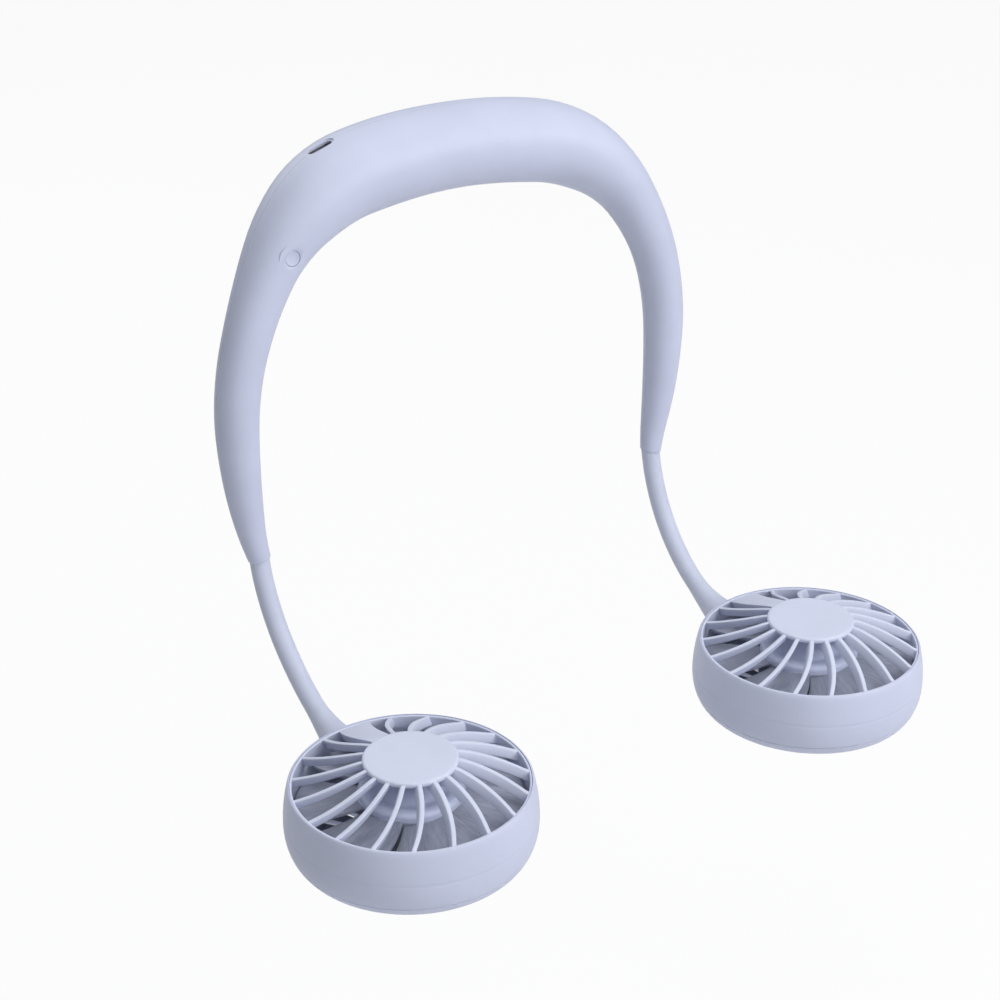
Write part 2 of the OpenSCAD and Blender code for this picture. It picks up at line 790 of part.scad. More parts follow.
module rear_cover(side) {
    color(shell_colour) at_head(side) difference() {
        union() {
            rotate_extrude($fn = fine) polygon(concat(
                [[0, 0]], base_points(cover_height - fit_gap),
                [[cover_step_r, cover_height - fit_gap], [cover_step_r, cover_height + lip_height],
                 [cover_step_r - lip_wall, cover_height + lip_height],
                 [cover_step_r - lip_wall, cover_height - fit_gap], [base_r, cover_wall], [0, cover_wall]]));
            cylinder(h = seat_height, r = seat_r, $fn = fine);
            cylinder(h = post_top, r = post_r, $fn = fine);
        }
        translate([0, 0, thrust_height]) cylinder(h = post_top, r = bearing_r + fit_gap / 2, $fn = fine);
        for (k = [0:slot_count - 1]) rotate([0, 0, 360 / slot_count * (k + 0.5)])
            translate([slot_start_r, -slot_width / 2, -cut_over])
            cube([slot_end_r - slot_start_r, slot_width, cover_wall + 2 * cut_over]);
        for (angle = motor_screw_angles) rotate([0, 0, angle])
            translate([motor_screw_circle, 0, cover_wall / 2])
            cylinder(h = seat_height, r = motor_screw_r + fit_gap / 2, $fn = small);
    }
}

// Motor: bearing, shaft, board, stator, coils, rotor cup and magnet ring
thrust_height = 2.2;
board_gap = 0.1;
board_z = seat_height + board_gap;
motor_board_r = 12;
motor_board_height = 1;
stator_z = 6.6;
stator_height = 8.4;
stator_r = 12.4;
stator_hub_r = 5.2;
pole_width = 3;
shoe_height = 1.4;
coil_wall = 1.3;
post_top = stator_z + stator_height + coil_wall;
air_gap = 0.5;
magnet_r = stator_r + air_gap;
magnet_wall = 1.4;
magnet_overhang = 0.5;
magnet_height = stator_height + 2 * magnet_overhang;
magnet_z = stator_z - magnet_overhang;
cup_wall = 0.8;
cup_r = magnet_r + magnet_wall + fit_gap / 2 + cup_wall;
hub_cap = 1.6;
cup_top = hub_top - hub_cap - fit_gap / 2;
cup_low = 6;
hub_round = 1.6;
hub_low = 5.4;
motor_screw_circle = 9.5;
motor_screw_angles = [30, 150, 270];
motor_screw_r = 0.7;

module bearing(side) {
    color([0.74, 0.60, 0.36]) at_head(side) translate([0, 0, thrust_height + fit_gap])
        difference() {
            cylinder(h = post_top - thrust_height - fit_gap, r = bearing_r, $fn = fine);
            translate([0, 0, -cut_over])
                cylinder(h = post_top + cut_over, r = shaft_d / 2 + running_gap, $fn = fine);
        }
}

module shaft(side) {
    from = thrust_height + 2 * fit_gap;
    color(steel_colour) at_head(side) translate([0, 0, from])
        cylinder(h = hub_top - hub_cap / 2 - from, r = shaft_d / 2, $fn = fine);
}

module motor_board(side) {
    color(board_colour) at_head(side) translate([0, 0, board_z]) difference() {
        cylinder(h = motor_board_height, r = motor_board_r, $fn = fine);
        translate([0, 0, -cut_over]) cylinder(h = 3 * cut_over, r = post_r + fit_gap, $fn = fine);
        for (angle = motor_screw_angles) rotate([0, 0, angle]) translate([motor_screw_circle, 0, -cut_over])
            cylinder(h = 3 * cut_over, r = motor_screw_r + fit_gap, $fn = small);
    }
}

module motor_screws(side) {
    low = cover_wall / 2 + fit_gap;
    top = board_z + motor_board_height;
    color(steel_colour) at_head(side) for (angle = motor_screw_angles) rotate([0, 0, angle])
        translate([motor_screw_circle, 0, 0]) {
            translate([0, 0, low]) cylinder(h = top - low, r = motor_screw_r, $fn = small);
            translate([0, 0, top]) cylinder(h = motor_screw_r, r = 2 * motor_screw_r, $fn = small);
        }
}

module stator(side) {
    color([0.55, 0.56, 0.58]) at_head(side) translate([0, 0, stator_z]) linear_extrude(stator_height)
        difference() {
            union() {
                circle(stator_hub_r, $fn = fine);
                intersection() {
                    circle(stator_r, $fn = fine);
                    for (k = [0:pole_count - 1]) rotate(360 / pole_count * k) union() {
                        translate([0, -pole_width / 2]) square([stator_r, pole_width]);
                        translate([stator_r - shoe_height, -shoe_width / 2])
                            square([shoe_height, shoe_width]);
                    }
                }
            }
            circle(post_r + fit_gap / 2, $fn = fine);
        }
}
shoe_width = 2 * stator_r * sin(180 / pole_count) * 0.8;

module coils(side) {
    from = stator_hub_r + fit_gap;
    run = stator_r - shoe_height - from - 2 * fit_gap;
    inner = [run, pole_width + 2 * fit_gap, stator_height + 2 * fit_gap];
    outer = inner + [0, 2 * coil_wall, 2 * coil_wall];
    color(copper_colour) at_head(side) translate([0, 0, stator_z + stator_height / 2])
        for (k = [0:pole_count - 1]) rotate([0, 0, 360 / pole_count * k])
            translate([from + run / 2 + fit_gap, 0, 0]) difference() {
                cube(outer, center = true);
                cube(inner + [cut_over, 0, 0], center = true);
            }
}

module magnet_ring(side) {
    color([0.22, 0.22, 0.24]) at_head(side) translate([0, 0, magnet_z]) difference() {
        cylinder(h = magnet_height, r = magnet_r + magnet_wall, $fn = fine);
        translate([0, 0, -cut_over]) cylinder(h = magnet_height + 2 * cut_over, r = magnet_r, $fn = fine);
    }
}

module rotor_cup(side) {
    color(steel_colour) at_head(side) difference() {
        translate([0, 0, cup_low]) cylinder(h = cup_top - cup_low, r = cup_r, $fn = fine);
        translate([0, 0, cup_low - cut_over])
            cylinder(h = cup_top - cup_low - cup_wall + cut_over, r = cup_r - cup_wall, $fn = fine);
        cylinder(h = cup_top + cut_over, r = shaft_d / 2 + fit_gap / 4, $fn = fine);
    }
}

// Impeller: a cupped hub with cambered blades
hub_r = hub_d / 2;
blade_r = duct_r - blade_gap;
blade_base = 13.5;
blade_height = 7;
blade_root_chord = 14.6;
blade_tip_chord = 31.2;
blade_steps = 6;
blade_camber = 1.2;
blade_sweep = 6;
blade_cone = 4;
blade_tip_angle = blade_tip_chord / 2 / blade_r * 180 / PI;

module blade_section() {
    run = 2 * blade_r * sin(blade_tip_angle + blade_sweep);
    rise = blade_height - blade_thickness;
    function mean(t) =
        [(t - 0.5) * run, blade_base + blade_thickness / 2 + rise * t + blade_camber * 4 * t * (1 - t)];
    steps = [for (k = [0:blade_steps]) k / blade_steps];
    polygon(concat(
        [for (t = steps) mean(t) + [0, blade_thickness / 2]],
        [for (k = [blade_steps:-1:0]) mean(steps[k]) - [0, blade_thickness / 2]]));
}

// Blade seen from above, along X: both edges sweep back, and root and tip are arcs
module blade_plan() {
    function edge(t, side) =
        let (r = hub_r - cut_over / 2 + (blade_r - hub_r) * t)
        let (half = (blade_root_chord + (blade_tip_chord - blade_root_chord) * t) / 2)
        let (angle = -blade_sweep * t * t + side * half / r * 180 / PI)
        r * [cos(angle), sin(angle)];
    steps = [for (k = [0:blade_steps]) k / blade_steps];
    across = [for (k = [1:3]) 1 - 2 * k / 4];
    polygon(concat(
        [for (t = steps) edge(t, 1)],
        [for (side = across) edge(1, side)],
        [for (k = [blade_steps:-1:0]) edge(steps[k], -1)],
        [for (side = across) edge(0, -side)]));
}

// The blade's root stands higher than its tip
module blade() {
    intersection() {
        translate([blade_r, 0, 0]) rotate([0, blade_cone, 0]) translate([-blade_r, 0, 0])
            rotate([90, 0, 90]) linear_extrude(blade_r + cut_over) blade_section();
        linear_extrude(hub_top) blade_plan();
    }
}

module impeller(side) {
    inner_r = cup_r + fit_gap / 4;
    color(grille_colour) at_head(side) union() {
        difference() {
            rotate_extrude($fn = fine) polygon([
                [inner_r, hub_low], [hub_r, hub_low], [hub_r, hub_top - hub_round],
                [hub_r - hub_round * 0.3, hub_top - hub_round * 0.3], [hub_r - hub_round, hub_top],
                [0, hub_top], [0, hub_top - hub_cap], [inner_r, hub_top - hub_cap]]);
            cylinder(h = hub_top - hub_cap / 2 + fit_gap / 4, r = shaft_d / 2 + fit_gap / 4, $fn = fine);
        }
        for (k = [0:blade_count - 1]) rotate([0, 0, 360 / blade_count * k]) blade();
    }
}

front_shell();
rear_shell();
shell_screws();
battery_cell();
battery_cradle();
battery_tabs();
foam_pads();
control_board();
charging_socket();
tact_switch();
power_button();
lead_wires();

sleeve_top(left);  // left_sleeve_top
sleeve(left, 1);  // left_sleeve_upper
sleeve(left, 2);  // left_sleeve_middle
sleeve(left, 3);  // left_sleeve_lower
boot(left);  // left_boot
core(left, 0);  // left_core_top
core(left, 1);  // left_core_upper
core(left, 2);  // left_core_middle
core(left, 3);  // left_core_lower
core(left, 4);  // left_core_end
housing(left);  // left_housing
front_grille(left);  // left_front_grille
rear_cover(left);  // left_rear_cover
impeller(left);  // left_impeller
rotor_cup(left);  // left_rotor_cup
magnet_ring(left);  // left_magnet_ring
shaft(left);  // left_shaft
stator(left);  // left_stator
coils(left);  // left_coils
bearing(left);  // left_bearing
motor_board(left);  // left_motor_board
motor_screws(left);  // left_motor_screws

sleeve_top(right);  // right_sleeve_top
sleeve(right, 1);  // right_sleeve_upper
sleeve(right, 2);  // right_sleeve_middle
sleeve(right, 3);  // right_sleeve_lower
boot(right);  // right_boot
core(right, 0);  // right_core_top
core(right, 1);  // right_core_upper
core(right, 2);  // right_core_middle
core(right, 3);  // right_core_lower
core(right, 4);  // right_core_end
housing(right);  // right_housing
front_grille(right);  // right_front_grille
rear_cover(right);  // right_rear_cover
impeller(right);  // right_impeller
rotor_cup(right);  // right_rotor_cup
magnet_ring(right);  // right_magnet_ring
shaft(right);  // right_shaft
stator(right);  // right_stator
coils(right);  // right_coils
bearing(right);  // right_bearing
motor_board(right);  // right_motor_board
motor_screws(right);  // right_motor_screws
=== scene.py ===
"""Dresses the neck fan: the band, its arms and the two fan heads, with their finishes and the studio."""
import math

import bpy
from mathutils import Matrix, Vector


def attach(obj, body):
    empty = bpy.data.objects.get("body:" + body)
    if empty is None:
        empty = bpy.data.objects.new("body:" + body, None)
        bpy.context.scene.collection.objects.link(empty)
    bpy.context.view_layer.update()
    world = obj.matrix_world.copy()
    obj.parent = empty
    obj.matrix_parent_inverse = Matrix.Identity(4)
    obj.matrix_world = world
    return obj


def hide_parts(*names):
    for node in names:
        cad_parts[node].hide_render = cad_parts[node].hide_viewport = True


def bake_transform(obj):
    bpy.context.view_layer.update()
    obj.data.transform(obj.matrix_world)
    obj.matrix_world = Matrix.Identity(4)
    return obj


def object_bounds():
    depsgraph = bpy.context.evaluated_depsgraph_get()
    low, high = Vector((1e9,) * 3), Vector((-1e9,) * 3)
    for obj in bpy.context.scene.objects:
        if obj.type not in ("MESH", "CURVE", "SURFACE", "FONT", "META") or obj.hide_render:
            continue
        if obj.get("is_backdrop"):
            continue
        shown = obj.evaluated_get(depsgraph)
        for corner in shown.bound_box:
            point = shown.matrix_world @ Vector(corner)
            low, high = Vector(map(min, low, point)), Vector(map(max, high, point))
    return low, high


bl_info = {
    "name": "Neck fan",
    "version": (1, 0, 0),
    "blender": (4, 5, 0),
    "location": "View3D > Sidebar > Neck fan",
    "description": "Models the visible pieces of a neck fan over its CAD frame",
    "category": "Object",
}

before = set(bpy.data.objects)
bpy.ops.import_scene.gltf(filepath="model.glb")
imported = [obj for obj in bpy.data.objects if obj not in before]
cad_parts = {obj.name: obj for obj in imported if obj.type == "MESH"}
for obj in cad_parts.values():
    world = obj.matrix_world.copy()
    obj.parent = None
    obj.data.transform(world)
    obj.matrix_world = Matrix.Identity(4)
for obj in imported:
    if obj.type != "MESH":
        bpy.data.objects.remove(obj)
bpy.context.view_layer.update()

SIDES = {"left": -1, "right": 1}

# The band's centre line on each side: bend radius in metres and turn in degrees
BAND_ARCS = ((0.207, 10.0), (0.0545, 48.0), (0.104, 32.0), (0.235, 11.5))
BAND_LENGTH = sum(bend * math.radians(turn) for bend, turn in BAND_ARCS)

# Shares of the crown's half height and half depth, along the band
BAND_SHARES = (
    (0.0, 1.0, 1.0), (0.19, 1.0, 0.985), (0.29, 0.93, 0.92), (0.37, 0.78, 0.78), (0.44, 0.665, 0.63),
    (0.55, 0.575, 0.495), (0.75, 0.507, 0.432), (0.85, 0.444, 0.378), (0.91, 0.385, 0.328),
    (0.95, 0.335, 0.285), (1.01, 0.265, 0.226),
)

# Distances along the band from its middle, in metres, with the left side below nothing
BUTTON_PLACE = -0.075
PORT_PLACE = -0.045
SCREW_PLACES = (-0.094, -0.0385, 0.0385, 0.094)

# Share of the left arm over which its set towards the middle grows
LEFT_SET_SHARE = 0.6

# How far a grille's ring lies inside the housing's rim
RING_INSET = 0.00068

# Turns that bring Z to the front and to the back
TO_FRONT = Matrix.Rotation(math.pi / 2, 3, "X")
TO_BACK = TO_FRONT @ Matrix.Rotation(math.pi, 3, "X")

# Each lamp's place and width in metres, and its power in watts, and the point that all of them face
LAMPS = {
    "key": ((0.58, -0.90, 0.55), 0.8, 8.2), "top": ((0.05, -0.10, 1.05), 1.1, 6.0),
    "front": ((-0.30, -1.05, 0.25), 0.9, 2.6), "back": ((-0.10, 0.95, 0.55), 0.9, 4.0),
}
LAMP_TARGET = Vector((0, -0.06, -0.08))

# The camera's place and its own axes, solved from the photograph, and its lens in millimetres
CAMERA_PLACE = (-0.3374, -0.5625, 0.1998)
CAMERA_AXES = ((0.8425, -0.5387, 0.0), (0.2362, 0.3695, 0.8987), (-0.4841, -0.7572, 0.4385))
CAMERA_LENS = 70.74


def length(title, words, size):
    """A size in metres that the sidebar shows as a length."""
    return bpy.props.FloatProperty(
        name=title, description=words, default=size, min=0.0, max=0.5,
        precision=5, unit="LENGTH", subtype="DISTANCE",
    )


def angle(title, words, degrees):
    """An angle that the sidebar shows in degrees."""
    return bpy.props.FloatProperty(
        name=title, description=words, default=math.radians(degrees), unit="ROTATION", subtype="ANGLE",
    )


def colour(title, words, value):
    """A colour as a linear red, green and blue."""
    return bpy.props.FloatVectorProperty(
        name=title, description=words, default=value, size=3, min=0.0, max=1.0, subtype="COLOR",
    )


def share(title, words, value):
    """A number from nothing to one."""
    return bpy.props.FloatProperty(
        name=title, description=words, default=value, min=0.0, max=1.0, subtype="FACTOR",
    )


def number(title, words, value):
    """A whole number of like things."""
    return bpy.props.IntProperty(name=title, description=words, default=value, min=1, max=64)


class NeckFanBand(bpy.types.PropertyGroup):
    """Sizes of the band, its button and its charging port."""

    half_height: length("Half height", "Half height of the band behind the neck", 0.0144)
    half_depth: length("Half depth", "Half depth of the band behind the neck", 0.0169)
    lean: length("Lean", "How far the legs stand in front of the crown", 0.0105)
    wall: length("Wall", "Wall of the two shells", 0.0018)
    seam_gap: length("Seam gap", "Gap between the two shells", 0.0001)
    seam_round: length("Seam round", "Rounding of each shell's edge at the seam", 0.00012)
    button_radius: length("Button radius", "Radius of the power button", 0.00266)
    button_sink: length("Button sink", "How deep the button lies under the shell", 0.0005)
    button_dish: length("Button dish", "Depth of the button's dished face", 0.00035)
    port_width: length("Port width", "Width of the charging port's recess", 0.0106)
    port_height: length("Port height", "Height of the charging port's recess", 0.0048)
    port_depth: length("Port depth", "Depth of the charging port's recess", 0.0005)


class NeckFanArms(bpy.types.PropertyGroup):
    """Sizes of the two silicone arms."""

    radius: length("Radius", "Radius of an arm", 0.0035)
    bend_radius: length("Bend radius", "Radius of the arm's own curve", 0.0615)
    start_angle: angle("Start angle", "Angle between the top of an arm and the vertical", 11.0)
    toe: angle("Toe", "How far an arm turns in towards the middle", 1.8)
    first_place: length("First place", "Distance from the band to the first bending place", 0.014)
    pitch: length("Pitch", "Distance between bending places", 0.018)
    boot_radius: length("Boot radius", "Radius of the boot where it meets the head", 0.0080)
    boot_length: length("Boot length", "Length of the boot's flare", 0.027)
    left_set: length("Left set", "How far the left arm lies nearer to the middle at the head", 0.0011)


class NeckFanHeads(bpy.types.PropertyGroup):
    """Sizes of the fan heads."""

    attach_radius: length("Attach radius", "Distance from a head's axis to the arm's end", 0.0388)
    attach_height: length("Attach height", "Height of the arm's end over the base", 0.0108)
    height: length("Height", "Height of the rim over the base", 0.025)
    rim_radius: length("Rim radius", "Radius of the rim", 0.039)
    belly_radius: length("Belly radius", "Largest radius of the housing", 0.0408)
    base_radius: length("Base radius", "Radius of the flat base", 0.0348)
    belly_height: length("Belly height", "Height of the widest line", 0.0116)
    joint_height: length("Joint height", "Height of the joint with the rear cover", 0.0045)
    duct_radius: length("Duct radius", "Radius of the air duct", 0.0376)
    cover_wall: length("Cover wall", "Wall of the rear cover", 0.0018)
    slots: number("Slots", "Number of air slots in the rear cover", 24)
    line_height: length("Line height", "Height of the faint moulding line", 0.0137)


class NeckFanGrille(bpy.types.PropertyGroup):
    """Sizes of the front grilles."""

    places: number("Places", "Places round the grille, one of them the wire channel", 19)
    turn: angle("Turn", "Angle that the whole grille is turned", 4.0)
    sweep: angle("Sweep", "Angle that a vane turns between hub and rim", 9.5)
    tilt: angle("Tilt", "Angle that a vane leans from the vertical", 18.0)
    thickness: length("Thickness", "Thickness of a vane", 0.0016)
    depth: length("Depth", "Height of a vane", 0.0034)
    disc_radius: length("Disc radius", "Radius of the centre disc", 0.0153)
    disc_thickness: length("Disc thickness", "Thickness of the centre disc", 0.0019)
    rise: length("Rise", "Height of the centre disc over the rim", 0.0086)
    channel_width: length("Channel width", "Width of the wire channel at the rim", 0.012)


class NeckFanImpeller(bpy.types.PropertyGroup):
    """Sizes of the impellers."""

    blades: number("Blades", "Number of blades", 7)
    blade_radius: length("Blade radius", "Radius over the blade tips", 0.0366)
    blade_base: length("Blade base", "Height of a blade's low edge", 0.0135)
    blade_height: length("Blade height", "Height of a blade from edge to edge", 0.007)
    thickness: length("Thickness", "Thickness of a blade", 0.0013)
    root_chord: length("Root chord", "Width of a blade at the hub", 0.0146)
    tip_chord: length("Tip chord", "Width of a blade at its tip", 0.0325)
    sweep: angle("Sweep", "How far a blade's tip trails its root", 6.0)
    cone: angle("Cone", "How far a blade climbs from its tip to its root", 4.0)
    camber: length("Camber", "How far a blade bulges", 0.0012)
    hub_radius: length("Hub radius", "Radius of the hub", 0.017)
    hub_top: length("Hub top", "Height of the hub's top", 0.023)
    hub_low: length("Hub low edge", "Height of the hub's low edge", 0.0054)


class NeckFanColours(bpy.types.PropertyGroup):
    """Colours of the visible finishes."""

    shell: colour("Shell", "Lavender plastic of the band and the heads", (0.560, 0.595, 0.745))
    silicone: colour("Silicone", "Softer lavender of the arms", (0.575, 0.610, 0.745))
    grille: colour("Grille", "Plastic of the front grilles", (0.625, 0.662, 0.805))
    # Painted shade: this tone is the wheel's lavender plastic darkened as if in shade; the hub's painted
    # light is drawn at about twice it
    impeller: colour("Impeller", "Greyer plastic of the fan blades", (0.300, 0.320, 0.400))
    floor: colour("Floor", "The studio's floor and backdrop", (0.72, 0.72, 0.74))
    floor_drop: length("Floor drop", "Room under the heads, for arms that are bent down", 0.12)
    whiteness: share("Backdrop white", "How much plain white the camera sees on the floor", 0.94)


def sidebar(group):
    """The sidebar's values of one group."""
    return getattr(bpy.context.scene, f"neck_fan_{group}")


def band_point(s):
    """A point of the band's centre line and its heading below the horizontal, at a signed distance."""
    rest, turned, x, drop, side = abs(s), 0.0, 0.0, 0.0, math.copysign(1, s)
    for i, (bend, turn) in enumerate(BAND_ARCS):
        whole = bend * math.radians(turn)
        run = rest if i == len(BAND_ARCS) - 1 else min(rest, whole)
        then = turned + run / bend
        x += bend * (math.sin(then) - math.sin(turned))
        drop += bend * (math.cos(turned) - math.cos(then))
        turned, rest = then, rest - run
        if rest <= 0:
            break
    sizes, arms = sidebar("band"), sidebar("arms")
    rise = max(0.0, 1 - drop / lean_drop())
    tip = max(0.0, abs(s) - BAND_LENGTH + arms.bend_radius * math.sin(arms.start_angle))
    y = -sizes.lean * (1 - rise * rise) - tip * tip / (2 * arms.bend_radius)
    return Vector((side * x, y, sizes.half_height - drop)), side * turned


def lean_drop():
    """The drop at which the band's legs reach their forward place."""
    turned = drop = 0.0
    for bend, turn in BAND_ARCS[:2] + ((BAND_ARCS[2][0], BAND_ARCS[2][1] / 2),):
        then = turned + math.radians(turn)
        drop += bend * (math.cos(turned) - math.cos(then))
        turned = then
    return drop


def band_share(s, column):
    """A smooth share of the crown's size at a distance along the band."""
    t = abs(s) / BAND_LENGTH
    k = 0
    while k < len(BAND_SHARES) - 2 and t > BAND_SHARES[k + 1][0]:
        k += 1

    def slope(i):
        low, high = BAND_SHARES[max(0, i - 1)], BAND_SHARES[min(len(BAND_SHARES) - 1, i + 1)]
        return (high[column] - low[column]) / (high[0] - low[0])

    here, there = BAND_SHARES[k], BAND_SHARES[k + 1]
    wide = there[0] - here[0]
    u = (t - here[0]) / wide
    ease = u * u * (3 - 2 * u)
    return (here[column] * (1 - ease) + there[column] * ease
            + wide * u * (1 - u) * ((1 - u) * slope(k) - u * slope(k + 1)))


def band_half(s):
    """Half the band's height and half its depth, at a distance along the band."""
    sizes = sidebar("band")
    return sizes.half_height * band_share(s, 1), sizes.half_depth * band_share(s, 2)


def arm_place(side, place):
    """A point of an arm's centre line and the turn of Z down the arm, at a distance from the band."""
    arms = sidebar("arms")
    tip = band_point(side * BAND_LENGTH)[0]
    start = arms.start_angle
    centre = Vector((0, -arms.bend_radius * math.cos(start), arms.bend_radius * math.sin(start)))
    turned = start + place / arms.bend_radius
    point = centre + arms.bend_radius * Vector((0, math.cos(turned), -math.sin(turned)))
    toe = Matrix.Rotation(-side * arms.toe, 3, "Z")
    if side < 0:
        part = min(1.0, max(0.0, place / (LEFT_SET_SHARE * arm_length())))
        point.x += arms.left_set * part * part * (3 - 2 * part)
    return tip + toe @ point, toe @ Matrix.Rotation(math.pi - turned, 3, "X")


def arm_length():
    """The whole length of an arm's centre line, from the band to the head's wall."""
    arms = sidebar("arms")
    return arms.bend_radius * (math.pi / 2 - arms.start_angle)


def head_centre(side):
    """The middle of a head's base."""
    arms, heads = sidebar("arms"), sidebar("heads")
    tip = band_point(side * BAND_LENGTH)[0]
    reach = arms.bend_radius * math.cos(arms.start_angle)
    drop = arms.bend_radius * (1 - math.sin(arms.start_angle))
    return Vector((
        tip.x - side * reach * math.sin(arms.toe),
        tip.y - reach * math.cos(arms.toe) - heads.attach_radius,
        tip.z - drop - heads.attach_height,
    ))


def outer_radius(z):
    """The housing's outer radius at a height over the base."""
    heads = sidebar("heads")
    if z < heads.belly_height:
        fall = (heads.belly_height - z) / heads.belly_height
        bulge = math.sqrt(max(0.0, 1 - fall * fall))
        return heads.base_radius + (heads.belly_radius - heads.base_radius) * bulge
    climb = (z - heads.belly_height) / (heads.height - heads.belly_height)
    return heads.belly_radius - (heads.belly_radius - heads.rim_radius) * climb * climb


def pick(*objects):
    """Leaves object mode with only these objects selected, the first one active."""
    if bpy.context.object and bpy.context.object.mode != "OBJECT":
        bpy.ops.object.mode_set(mode="OBJECT")
    bpy.ops.object.select_all(action="DESELECT")
    for item in objects:
        item.select_set(True)
    bpy.context.view_layer.objects.active = objects[0] if objects else None


def settle(piece, place=(0, 0, 0), turn=None):
    """Moves and turns a piece, and applies its place to its mesh."""
    turned = (turn or Matrix.Identity(3)).to_4x4()
    piece.matrix_world = Matrix.Translation(place) @ turned @ piece.matrix_world
    pick(piece)
    bpy.ops.object.transform_apply()
    return piece


def edit(piece, mode="FACE"):
    """Enters edit mode on one piece, with nothing selected."""
    pick(piece)
    bpy.ops.object.mode_set(mode="EDIT")
    bpy.ops.mesh.select_mode(type=mode)
    bpy.ops.mesh.select_all(action="DESELECT")


def choose(piece, test, kind="polygons"):
    """Selects the faces or points of a piece that pass a test, and goes back to edit mode."""
    bpy.ops.mesh.select_mode(type="VERT" if kind == "vertices" else "FACE")
    bpy.ops.mesh.select_all(action="DESELECT")
    bpy.ops.object.mode_set(mode="OBJECT")
    for item in getattr(piece.data, kind):
        item.select = bool(test(item))
    bpy.ops.object.mode_set(mode="EDIT")


def joined(name, *objects):
    """Several objects made one, with their places applied."""
    pick(*objects)
    if len(objects) > 1:
        bpy.ops.object.join()
    piece = bpy.context.object
    bpy.ops.object.transform_apply()
    piece.name = name
    return piece


def copied(piece, turn=0.0):
    """A copy of a piece with its own mesh, turned about the upright axis."""
    pick(piece)
    bpy.ops.object.duplicate(linked=False)
    return settle(bpy.context.object, turn=Matrix.Rotation(turn, 3, "Z"))


def remove(piece):
    """Takes away a piece that has been used up."""
    bpy.data.objects.remove(piece, do_unlink=True)


def finish_with(piece, kind, **settings):
    """Adds a modifier with its settings and applies it."""
    pick(piece)
    modifier = piece.modifiers.new(kind.title(), kind)
    for name, value in settings.items():
        setattr(modifier, name, value)
    bpy.ops.object.modifier_apply(modifier=modifier.name)
    return piece


def carve(piece, cutter, operation="DIFFERENCE"):
    """Cuts a piece with another one, which is used up."""
    finish_with(piece, "BOOLEAN", object=cutter, operation=operation, solver="EXACT")
    remove(cutter)
    return piece


def smooth(piece, degrees=32):
    """Shades a piece smooth, apart from its sharp edges."""
    pick(piece)
    bpy.ops.object.shade_smooth_by_angle(angle=math.radians(degrees))
    return piece


def stands_for(piece, node, body):
    """Hides the node that a piece replaces and sets the piece on the body that it rides on."""
    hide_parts(node)
    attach(piece, body)


def to_heads(whole, ending, degrees, node, body):
    """Sets a copy of a piece that was made at the origin on each head."""
    for side_name, side in SIDES.items():
        piece = copied(whole)
        piece.name = f"{side_name}_{ending}"
        settle(piece, head_centre(side))
        smooth(piece, degrees)
        stands_for(piece, f"{side_name}_{node}", f"{side_name}_{body}")
    remove(whole)


def face_out():
    """Turns every face outward and leaves edit mode."""
    bpy.ops.mesh.select_all(action="SELECT")
    bpy.ops.mesh.normals_make_consistent(inside=False)
    bpy.ops.object.mode_set(mode="OBJECT")


def ring(place, turn, across, deep, points):
    """One oval loop of points for a loft."""
    bpy.ops.mesh.primitive_circle_add(vertices=points, radius=1, location=place, rotation=turn.to_euler())
    loop = bpy.context.object
    loop.scale = (across, deep, 1)
    return loop


def loft(name, loops, capped=True):
    """A skin bridged over oval loops, with its ends filled if it is capped."""
    piece = joined(name, *loops)
    edit(piece, "EDGE")
    bpy.ops.mesh.select_all(action="SELECT")
    bpy.ops.mesh.bridge_edge_loops()
    if capped:
        bpy.ops.mesh.select_all(action="DESELECT")
        bpy.ops.mesh.select_non_manifold()
        bpy.ops.mesh.fill_holes(sides=0)
    face_out()
    return piece


def outline(radius, height, *steps):
    """A profile of radius and height, from steps in millimetres off one corner."""
    return [(radius + out / 1000, height + up / 1000) for out, up in steps]


def lathe(name, profile, points=96, closed=False):
    """A round piece made from a loop that is extruded and resized along a profile of radius and height."""
    first = profile[0]
    bpy.ops.mesh.primitive_circle_add(vertices=points, radius=first[0], location=(0, 0, first[1]))
    piece = bpy.context.object
    piece.name = name
    bpy.ops.object.transform_apply()
    edit(piece, "EDGE")
    bpy.ops.mesh.select_all(action="SELECT")
    if not closed:
        bpy.ops.mesh.edge_face_add()
    for (r, z), (then_r, then_z) in zip(profile, profile[1:] + (profile[:1] if closed else [])):
        bpy.ops.mesh.extrude_edges_move(TRANSFORM_OT_translate={"value": (0, 0, then_z - z)})
        bpy.ops.transform.resize(value=(then_r / r, then_r / r, 1), center_override=(0, 0, then_z))
    if not closed:
        bpy.ops.mesh.edge_face_add()
    bpy.ops.mesh.select_all(action="SELECT")
    bpy.ops.mesh.remove_doubles(threshold=0.000002)
    face_out()
    return piece


def slot_cutter(name, wide, high, deep, flare=0.0):
    """A slot with round ends, standing on the origin along Z, that widens at its top."""
    bpy.ops.mesh.primitive_circle_add(vertices=24, radius=high / 2, fill_type="NGON")
    piece = bpy.context.object
    piece.name = name
    edit(piece, "FACE")
    bpy.ops.mesh.select_all(action="SELECT")
    bpy.ops.mesh.extrude_region_move(TRANSFORM_OT_translate={"value": (0, 0, deep)})
    if flare:
        bpy.ops.transform.resize(value=(1 + flare, 1 + flare, 1), center_override=(0, 0, deep))
    for side in (1, -1):
        choose(piece, lambda point: side * point.co.x > 0.000001, "vertices")
        bpy.ops.transform.translate(value=(side * (wide - high) / 2, 0, 0))
    face_out()
    return piece


def band_turn(heading):
    """Turns X across the band and Y to its back, at a heading."""
    return Matrix.Rotation(heading - math.pi / 2, 3, "Y")


def upright(heading):
    """Turns Z outward from the band, at a heading."""
    return Matrix.Rotation(heading, 3, "Y")


